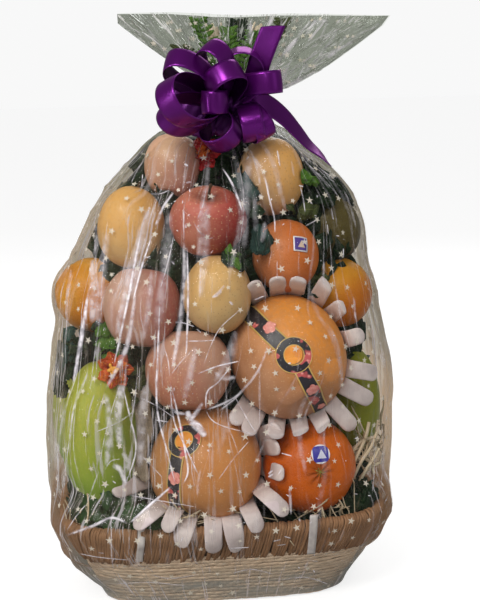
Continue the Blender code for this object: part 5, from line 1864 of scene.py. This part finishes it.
# The first colour of each look is the pale of its painted sheen
bag_look = (tone(214, 208, 212), BAG_SIDES, BAG_VEILS, AROUND_BAG, BAG_CRINKLES, 0.27)
film_clear = film_finish("film_clear", (0.95, 0.96, 0.94), *bag_look)
front_look = (tone(226, 226, 222), FRONT_SIDES, FRONT_VEILS, OUT_OF_TIE, FAN_CRINKLES, 0.40)
film_flare = film_finish("film_flared_front", (0.86, 0.88, 0.84), *front_look)
back_look = (tone(172, 174, 164), BACK_SIDES, BACK_VEILS, OUT_OF_TIE, FAN_CRINKLES, 0.40)
film_flare_back = film_finish("film_flared_back", (0.34, 0.36, 0.31), *back_look)
# The white of the painted fold highlights, and the star print
fold_highlight_white, star_finish = fold_highlight_finish(), star_print()

# Leaves and petals: blade, veins, underside and roughness
LEAF_LOOKS = {
    "leaf_dark": ((26, 50, 24), (50, 74, 40), (14, 28, 16), 0.45),
    "leaf_deep": ((38, 78, 30), (66, 100, 46), (22, 50, 22), 0.45),
    "leaf_teal": ((44, 74, 66), (84, 110, 98), (30, 52, 50), 0.4),
    "leaf_bright": ((84, 128, 34), (140, 170, 80), (58, 98, 28), 0.4),
    "leaf_olive": ((74, 84, 40), (110, 116, 64), (52, 60, 30), 0.45),
    "petal_red": ((186, 52, 32), (244, 180, 64), (226, 116, 40), 0.45),
    "petal_crimson": ((196, 40, 44), (226, 110, 90), (168, 28, 40), 0.45),
    "blossom_cream": ((222, 206, 184), (196, 178, 150), (206, 186, 160), 0.5)
}
LEAF = {
    name: leaf_finish(name, *tones(*look), roughness) for name, (*look, roughness) in LEAF_LOOKS.items()
}

pieces = []

woven, wall, underside = make_weave(woven_finish), make_wall(wall_finish), make_underside(woven_finish)
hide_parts("basket_tub")
for thing in (woven, wall, underside):
    pieces.append(thing)
border = make_border(border_finish)
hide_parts("basket_border")
pieces.append(border)

BAG_STARS = {"Stars_per_square_metre": 3300.0, "Least_distance": 0.0150, "Star_radius": 0.0036, "Seed": 4}
FAN_STARS = {"Stars_per_square_metre": 3600.0, "Least_distance": 0.010, "Star_radius": 0.0032, "Seed": 1}
film, film_tree = make_film(film_clear)
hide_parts("film_bag")
film_stars = grown("film_stars", film, STARS, Finish=star_finish, **BAG_STARS)
fan_front, fan_tree = make_fan("film_fan_front", FAN_SPREAD_FRONT, -1.0, film_flare)
fan_back, far_tree = make_fan("film_fan_back", FAN_SPREAD_BACK, 1.0, film_flare_back)
fans = [fan_front, fan_back]
# The film's painted fold highlights and glints
film_folds = make_fold_highlights(film_tree, fan_tree, far_tree, fold_highlight_white)
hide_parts("film_flare_front")
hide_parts("film_flare_back")
# Stars keep clear of the fans' edges: they are spread over slightly smaller fans, which then go
inset_front = make_fan("fan_front_inset", FAN_SPREAD_FRONT, -1.0, film_flare, 0.025)[0]
inset_back = make_fan("fan_back_inset", FAN_SPREAD_BACK, 1.0, film_flare_back, 0.025)[0]
star_sheets = (("front", inset_front, 0.0004), ("back", inset_back, 0.0004), ("inner", inset_back, -0.0009))
fan_stars = [
    grown("fan_stars_" + label, sheet, STARS, Finish=star_finish, Lift=lift, **FAN_STARS) for label, sheet,
    lift in star_sheets
]
drop(inset_front, inset_back)
for thing in (film, film_stars, film_folds, *fans, *fan_stars):
    pieces.append(thing)

for name, (middle, radii, kind, axis, skin) in FRUIT.items():
    *colours, blush_from, dots, pore, roughness = SKINS[skin]
    look = (*tones(*colours), blush_from, dots, pore, roughness)
    finish = fruit_skin("skin_" + name, middle, float(np.mean(radii)), *look)
    pieces.append(make_fruit(name, middle, radii, kind, axis, finish))
pieces += make_stalks(stalk_finish, calyx_finish)

# Labels: the pixels that each band runs through, and where its rings, flowers and orange middles lie
UPPER_BAND, UPPER_END = (
    ((245, 311), (258, 322), (270, 334), (284, 347)), ((300, 366), (307, 380), (315, 396), (321, 409))
)
LOWER_BAND = ((179, 447), (176, 462), (174, 478), (174, 494), (177, 508))
UPPER_RING, LOWER_RING = (294.0, 355.0), (184.0, 440.5)
LABEL_FLOWERS = (
    ("pear_upper", 270, 328, 0.0068), ("pear_upper", 312, 389, 0.0066), ("pear_lower", 175, 478, 0.007),
    ("pear_upper", 321, 405, 0.0045)
)
LABEL_HEARTS = (("pear_upper", 292.5, 354.0), ("pear_lower", 184.5, 440.5))
bands, label_flowers, label_hearts = Heap(), Heap(), Heap()
make_band(bands, "pear_upper", UPPER_BAND, 0.0170, 0.0008)
make_band(bands, "pear_upper", UPPER_END, 0.0155, 0.0008, beyond=True)
make_disc(bands, "pear_upper", *UPPER_RING, 0.0092, 0.0180, 0.0011)
make_band(bands, "pear_lower", LOWER_BAND, 0.0160, 0.0008, beyond=True)
make_disc(bands, "pear_lower", *LOWER_RING, 0.0088, 0.0178, 0.0011)
for name, x, y, size in LABEL_FLOWERS:
    make_disc(label_flowers, name, x, y, 0.0, size, 0.0016, lobes=0.22)
for name, x, y in LABEL_HEARTS:
    make_disc(label_hearts, name, x, y, 0.0, 0.0094, 0.0009)
pink = plain_finish("paper_pink", (206, 112, 104), (232, 160, 148), 240.0, 0.5)
orange = plain_finish("paper_orange", (226, 138, 40), (236, 156, 62), 120.0, 0.5)
pieces.append(bands.made("pear_labels", label_finish()))
pieces.append(label_flowers.made("label_flowers", pink))
pieces.append(label_hearts.made("label_hearts", orange))

ROUND_PLACE, SQUARE_PLACE = (320.5, 454.0), (300.5, 244.0)
rounds, squares = Heap(), Heap()
make_disc(rounds, "orange_big", *ROUND_PLACE, 0.0, 0.0094, 0.0009)
make_square(squares, "orange_middle", *SQUARE_PLACE, 0.0076, 0.18, 0.0009)
blue = sticker_finish("sticker_blue", (52, 46, 150), (206, 206, 224), 0.05)
violet = sticker_finish("sticker_violet", (84, 62, 140), (214, 190, 170), -0.05)
pieces.append(rounds.made("sticker_round", blue))
pieces.append(squares.made("sticker_square", violet))

# Foam collars: the tip of each finger, as a pixel and a depth, and the fingers over the rim with their widths
COLLAR_TIPS = {
    "pear_upper": (
        ((252, 282), -0.088), ((277, 277), -0.09), ((299, 277), -0.09), ((329, 278), -0.085),
        ((345, 303), -0.078), ((364, 334), -0.066), ((379, 374), -0.064), ((372, 401), -0.068),
        ((354, 429), -0.076), ((327, 433), -0.104), ((302, 437), -0.11), ((275, 439), -0.108),
        ((246, 435), -0.1), ((232, 424), -0.092)
    ),
    "pear_lower": (((112, 492), -0.086), ((284, 474), -0.108), ((279, 447), -0.104), ((280, 428), -0.098))
}
RIM_FINGERS = (
    ((164, 504), (134, 528), 0.015), ((178, 505), (165, 532), 0.015), ((190, 518), (179, 547), 0.0165),
    ((213, 520), (214, 553), 0.017), ((229, 516), (239, 551), 0.0185), ((246, 503), (260, 532), 0.017),
    ((260, 489), (288, 514), 0.017)
)
# Strips of tissue: pixels with their depths, and a width
TISSUE_STRIPS = (
    (
        ((150, 382, -0.062), (144, 404, -0.066), (147, 430, -0.068), (141, 456, -0.07), (146, 482, -0.074)),
        0.011
    ),
    (
        ((143, 378, -0.06), (139, 402, -0.063), (142, 428, -0.066), (136, 450, -0.069), (139, 478, -0.072)),
        0.011
    ),
    (((137, 392, -0.058), (132, 414, -0.062), (137, 440, -0.064), (131, 466, -0.068)), 0.01)
)
# Straps over the rim: their pixels and widths
STRAPS = (
    (((315, 497), (315, 507), (314, 516), (313, 534), (311, 554)), 0.0078),
    (((143, 526), (142, 536), (141, 545), (140, 553), (139, 562)), 0.0068)
)
collars, paper, straps = Heap(), Heap(), Heap()
for name, tips in COLLAR_TIPS.items():
    for tip, depth in tips:
        make_finger(collars, name, tip, depth)
for finger in RIM_FINGERS:
    make_rim_finger(collars, *finger)
pieces.append(collars.made("foam_collars", foam_finish()))
for knots, width in TISSUE_STRIPS:
    foam_slab(paper, [at_pixel(*knot) for knot in knots], BACK, width, 0.0030)
pieces.append(
    paper.made("tissue_paper", plain_finish("tissue_tan", (148, 132, 114), (108, 92, 76), 90.0, 0.7, 0.8))
)
for knots, width in STRAPS:
    over = [at_pixel(*knots[0], -0.094), at_pixel(*knots[1], -0.104)]
    for place, level in zip(over, (0.0005, 0.0020)):
        place[2] = RIM_LEVEL + level
    path = smooth_path(over + [on_border(knot, 0.0026) for knot in knots[2:]], 30)
    wide = np.array([1.0, 0.0, 0.0]) * width / 2
    straps.add(*thin(np.stack([path - wide, path - wide / 3, path + wide / 3, path + wide], 1), 0.0004))
pieces.append(
    straps.made("tie_straps", plain_finish("strap_pale", (204, 196, 194), (184, 174, 174), 160.0, 0.4))
)

pieces.append(make_core(filling))
pieces.append(make_litter(LEAF["leaf_dark"]))
# Bunches of leaves by colour: pixel, depth, length, how many, seed, and reach in pixels
LEAF_SPOTS = {
    "dark": (
        ((165, 258), -0.056, 0.02, 26, 1, (18, 28)), ((222, 170), -0.036, 0.018, 22, 3, (20, 14)),
        ((311, 186), -0.032, 0.018, 26, 5, (17, 20)), ((358, 498), -0.078, 0.017, 44, 9, (24, 15)),
        ((66, 362), -0.04, 0.022, 16, 11, (13, 26)), ((139, 157), 0.004, 0.017, 16, 33, (14, 10)),
        ((348, 190), -0.004, 0.016, 12, 34, (8, 10)), ((57, 366), -0.024, 0.018, 14, 28, (5, 24)),
        ((150, 147), -0.006, 0.014, 7, 29, (5, 6)), ((158, 160), -0.02, 0.018, 18, 2, (9, 18)),
        ((311, 290), -0.062, 0.014, 5, 14, (7, 6)), ((68, 498), -0.072, 0.02, 18, 27, (7, 18)),
        ((238, 258), -0.085, 0.014, 8, 13, (12, 8)), ((250, 196), -0.062, 0.016, 9, 6, (9, 20))
    ),
    "deep": (
        ((98, 512), -0.083, 0.022, 40, 7, (34, 13)), ((152, 522), -0.096, 0.018, 20, 12, (18, 12)),
        ((160, 530), -0.108, 0.018, 6, 17, (12, 8))
    ),
    "teal": (
        ((262, 238), -0.084, 0.018, 5, 15, (6, 12)), ((245, 184), -0.074, 0.018, 5, 16, (6, 8)),
        ((62, 350), -0.045, 0.022, 7, 18, (10, 16))
    ),
    "bright": (
        ((107, 345), -0.044, 0.024, 7, 19, (8, 18)), ((232, 258), -0.09, 0.013, 5, 21, (9, 6)),
        ((312, 178), -0.052, 0.014, 4, 22, (6, 5))
    ),
    "olive": (
        ((316, 284), -0.06, 0.013, 5, 23, (8, 6)), ((136, 392), -0.06, 0.018, 8, 24, (8, 22)),
        ((300, 212), -0.056, 0.018, 4, 25, (14, 3))
    )
}
for colour, spots in LEAF_SPOTS.items():
    leaves = Heap()
    for spot in spots:
        make_leaf_bunch(leaves, *spot)
    pieces.append(leaves.held_in().made("leaves_" + colour, LEAF["leaf_" + colour]))

# Flowers: name, pixel, gap behind the film, radius, seed, and the finishes of petals and heart
FLOWERS = (
    ("flower_", (115, 370), 0.0125, 0.018, 1, LEAF["petal_red"], heart_yellow),
    ("flower_top_", (203, 153), 0.008, 0.017, 2, LEAF["petal_crimson"], LEAF["petal_red"])
)
for name, pixel, gap, radius, seed, petal, heart in FLOWERS:
    petals, hearts = Heap(), Heap()
    make_flower(petals, hearts, behind_film(film_tree, *pixel, gap), radius, seed)
    pieces += [petals.held_in().made(name + "petals", petal), hearts.held_in().made(name + "hearts", heart)]

# Straw: pixel, depth, half sizes, how many and seed of each tangle, and the pixels of the long strands
STRAW_SPOTS = (
    ((365, 444), -0.056, (0.01, 0.006, 0.016), 16, 31), ((352, 460), -0.062, (0.012, 0.006, 0.01), 8, 32),
    ((200, 520), -0.098, (0.04, 0.006, 0.006), 26, 33), ((78, 520), -0.07, (0.014, 0.02, 0.008), 18, 34),
    ((330, 508), -0.09, (0.03, 0.008, 0.006), 20, 35), ((378, 430), 0.01, (0.01, 0.012, 0.024), 14, 36)
)
LONG_STRAWS = (
    ((352, 480), (361, 462), (371, 447), (377, 432)), ((350, 470), (359, 452), (366, 436), (369, 422)),
    ((357, 486), (366, 470), (374, 458), (379, 448)), ((348, 460), (356, 447), (364, 440), (376, 437)),
    ((360, 478), (370, 467), (380, 462), (384, 452)), ((353, 462), (362, 458), (370, 462), (374, 474))
)
straw = Heap()
for spot in STRAW_SPOTS:
    make_straw(straw, *spot)
for k, knots in enumerate(LONG_STRAWS):
    path = smooth_path([at_pixel(*knot, -0.066 + 0.002 * k) for knot in knots], 20)
    straw.add(*tube(path, 0.0017, 6, 0.35, BACK), shade=0.75 + 0.04 * k)
pieces.append(straw.held_in().made("raffia_straw", straw_finish))

bow = make_bow(ribbon_finish())
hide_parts("bow")
pieces.append(bow)

# Sprays above the tie: foot, tip, half width of a leaflet and finish
LEAVES = {
    "leaf_top_1": ((0.0105, 0.0005, 0.4905), (-0.026, -0.001, 0.537), 0.01, "leaf_olive"),
    "leaf_top_2": ((0.014, -0.0022, 0.4903), (-0.008, -0.012, 0.562), 0.0105, "leaf_bright"),
    "leaf_top_3": ((0.019, 0.0005, 0.4903), (0.022, -0.001, 0.553), 0.011, "leaf_bright"),
    "leaf_top_4": ((0.026, -0.0022, 0.4903), (0.046, -0.012, 0.549), 0.0105, "leaf_bright"),
    "leaf_top_5": ((0.031, 0.0005, 0.4905), (0.076, -0.002, 0.56), 0.01, "leaf_olive"),
    "leaf_top_6": ((0.02, 0.0032, 0.4903), (0.034, 0.014, 0.56), 0.012, "leaf_dark")
}
for k, (name, (foot, tip, half_width, look)) in enumerate(LEAVES.items()):
    rng = np.random.default_rng(90 + k)
    foot, tip = np.array(foot), np.array(tip)
    stem = smooth_path([foot, foot + (tip - foot) * 0.5 + (0.002, 0, 0), tip - (0, 0, 0.004)], 24)
    spray = Heap()
    spray.add(*tube(stem, np.linspace(0.0010, 0.0005, 25), 7, 1.0, (0, 1, 0)))
    for j in range(6, 25, 2):
        size = 1.40 * half_width * (1.1 - 0.5 * (j / 24))
        for side in (-1, 0, 1):
            if side or j == 24:
                out, rise = side * size * rng.uniform(0.8, 1.1), size * (0.55 if side else 0.5)
                end = stem[j] + np.array([out, rng.uniform(-0.0016, 0.0016), rise])
                leaflet = leaf_grid(stem[j], end, 0.0019, 0.0010, (0.3 * side, -1, 0.3), 3, 0.0006, j)
                spray.add(*thin(leaflet[::3, ::2], 0.0004), shade=rng.random())
    blade = spray.made("fine_" + name, LEAF[look])
    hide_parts(name)
    pieces.append(blade)

BLOSSOMS = {
    "blossom_top_1": ((0.0145, 0.0032, 0.4906), (0.009, 0.01, 0.561), 0.008),
    "blossom_top_2": ((0.026, 0.0032, 0.4906), (0.061, 0.014, 0.561), 0.009)
}
for name, (foot, tip, radius) in BLOSSOMS.items():
    foot, tip = np.array(foot), np.array(tip)
    way = unit(tip - foot)
    side = unit(np.cross(way, (0, 1, 0)))
    over = np.cross(way, side)
    bloom = Heap()
    base = foot + (tip - foot) * 0.52
    bloom.add(*tube(smooth_path([foot, base], 8), 0.0010, 8, 1.0, side))
    for layer in range(3):
        for k in range(5):
            turn = TAU * (k + 0.5 * layer) / 5
            out = side * math.cos(turn) + 0.7 * over * math.sin(turn)
            end = base + way * (0.030 - 0.003 * layer) + out * radius * (1.0 - 0.28 * layer)
            petal = leaf_grid(base, end, radius * 0.55, 0.003, out + 0.2 * way, 2, 0.0008, k)
            bloom.add(*thin(petal, 0.0005), shade=0.2 * layer)
    flower = bloom.made("fine_" + name, LEAF["blossom_cream"])
    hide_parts(name)
    pieces.append(flower)

for thing in pieces:
    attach(thing, "root")


# Floor and light


def make_stage():
    ground = Heap()
    ground.add([(-8, -4, 0), (8, -4, 0), (8, 14, 0), (-8, 14, 0)], [(0, 1, 2, 3)])
    made, tree, shader = new_finish("stage_pale")
    seen, white = given_by(tree, "LightPath", "Is Camera Ray"), (1.0, 1.0, 1.0)
    surface = {"Base Color": (0.36, 0.36, 0.36), "Emission Color": white, "Emission Strength": seen * 0.73}
    set_inputs(tree, shader, {**surface, "Roughness": coords(tree).noise(300.0).ramp(0.3, 0.7, 0.8, 0.9)})
    floor = ground.made("stage_floor", made, smooth=False)
    world = bpy.data.worlds.new("studio")
    world.use_nodes = True
    bpy.context.scene.world = world
    tree = world.node_tree
    rays = put(tree, "LightPath").outputs
    glossy, seen = Value(tree, rays["Is Glossy Ray"]), Value(tree, rays["Is Camera Ray"])
    strength = glossy.ramp(0.0, 1.0, 0.56, 0.20).largest(seen * 0.94)
    set_inputs(tree, tree.nodes["Background"], {"Color": white, "Strength": strength})


def make_lamp(name, place, aim, width, height, power, colour=(1.0, 1.0, 1.0)):
    lamp = bpy.data.lights.new(name, "AREA")
    lamp.shape = "RECTANGLE"
    lamp.size, lamp.size_y, lamp.energy, lamp.color = width, height, power, colour
    made = bpy.data.objects.new(name, lamp)
    made.location = place
    made.rotation_euler = (Vector(aim) - Vector(place)).to_track_quat("-Z", "Y").to_euler()
    bpy.context.scene.collection.objects.link(made)


make_stage()
make_lamp("key_softbox", (-1.1, -1.7, 2.1), (0, 0, 0.28), 0.9, 0.9, 34.0, (1.0, 0.98, 0.95))
make_lamp("fill_softbox", (1.7, -1.2, 0.9), (0, 0, 0.25), 1.0, 1.0, 1.2)
make_lamp("strip_left", (-1.4, -0.8, 0.7), (0, 0, 0.3), 0.06, 1.3, 5.5)
make_lamp("strip_front", (-0.35, -2.2, 1.5), (0, 0, 0.3), 0.10, 0.8, 5.0)
make_lamp("spark_right", (0.5, -2.0, 2.2), (0, 0, 0.35), 0.12, 0.12, 4.0)
make_lamp("back_light", (0.6, 1.6, 1.5), (0, 0, 0.3), 1.2, 1.2, 13.0)
bpy.context.scene.view_settings.view_transform = "Standard"
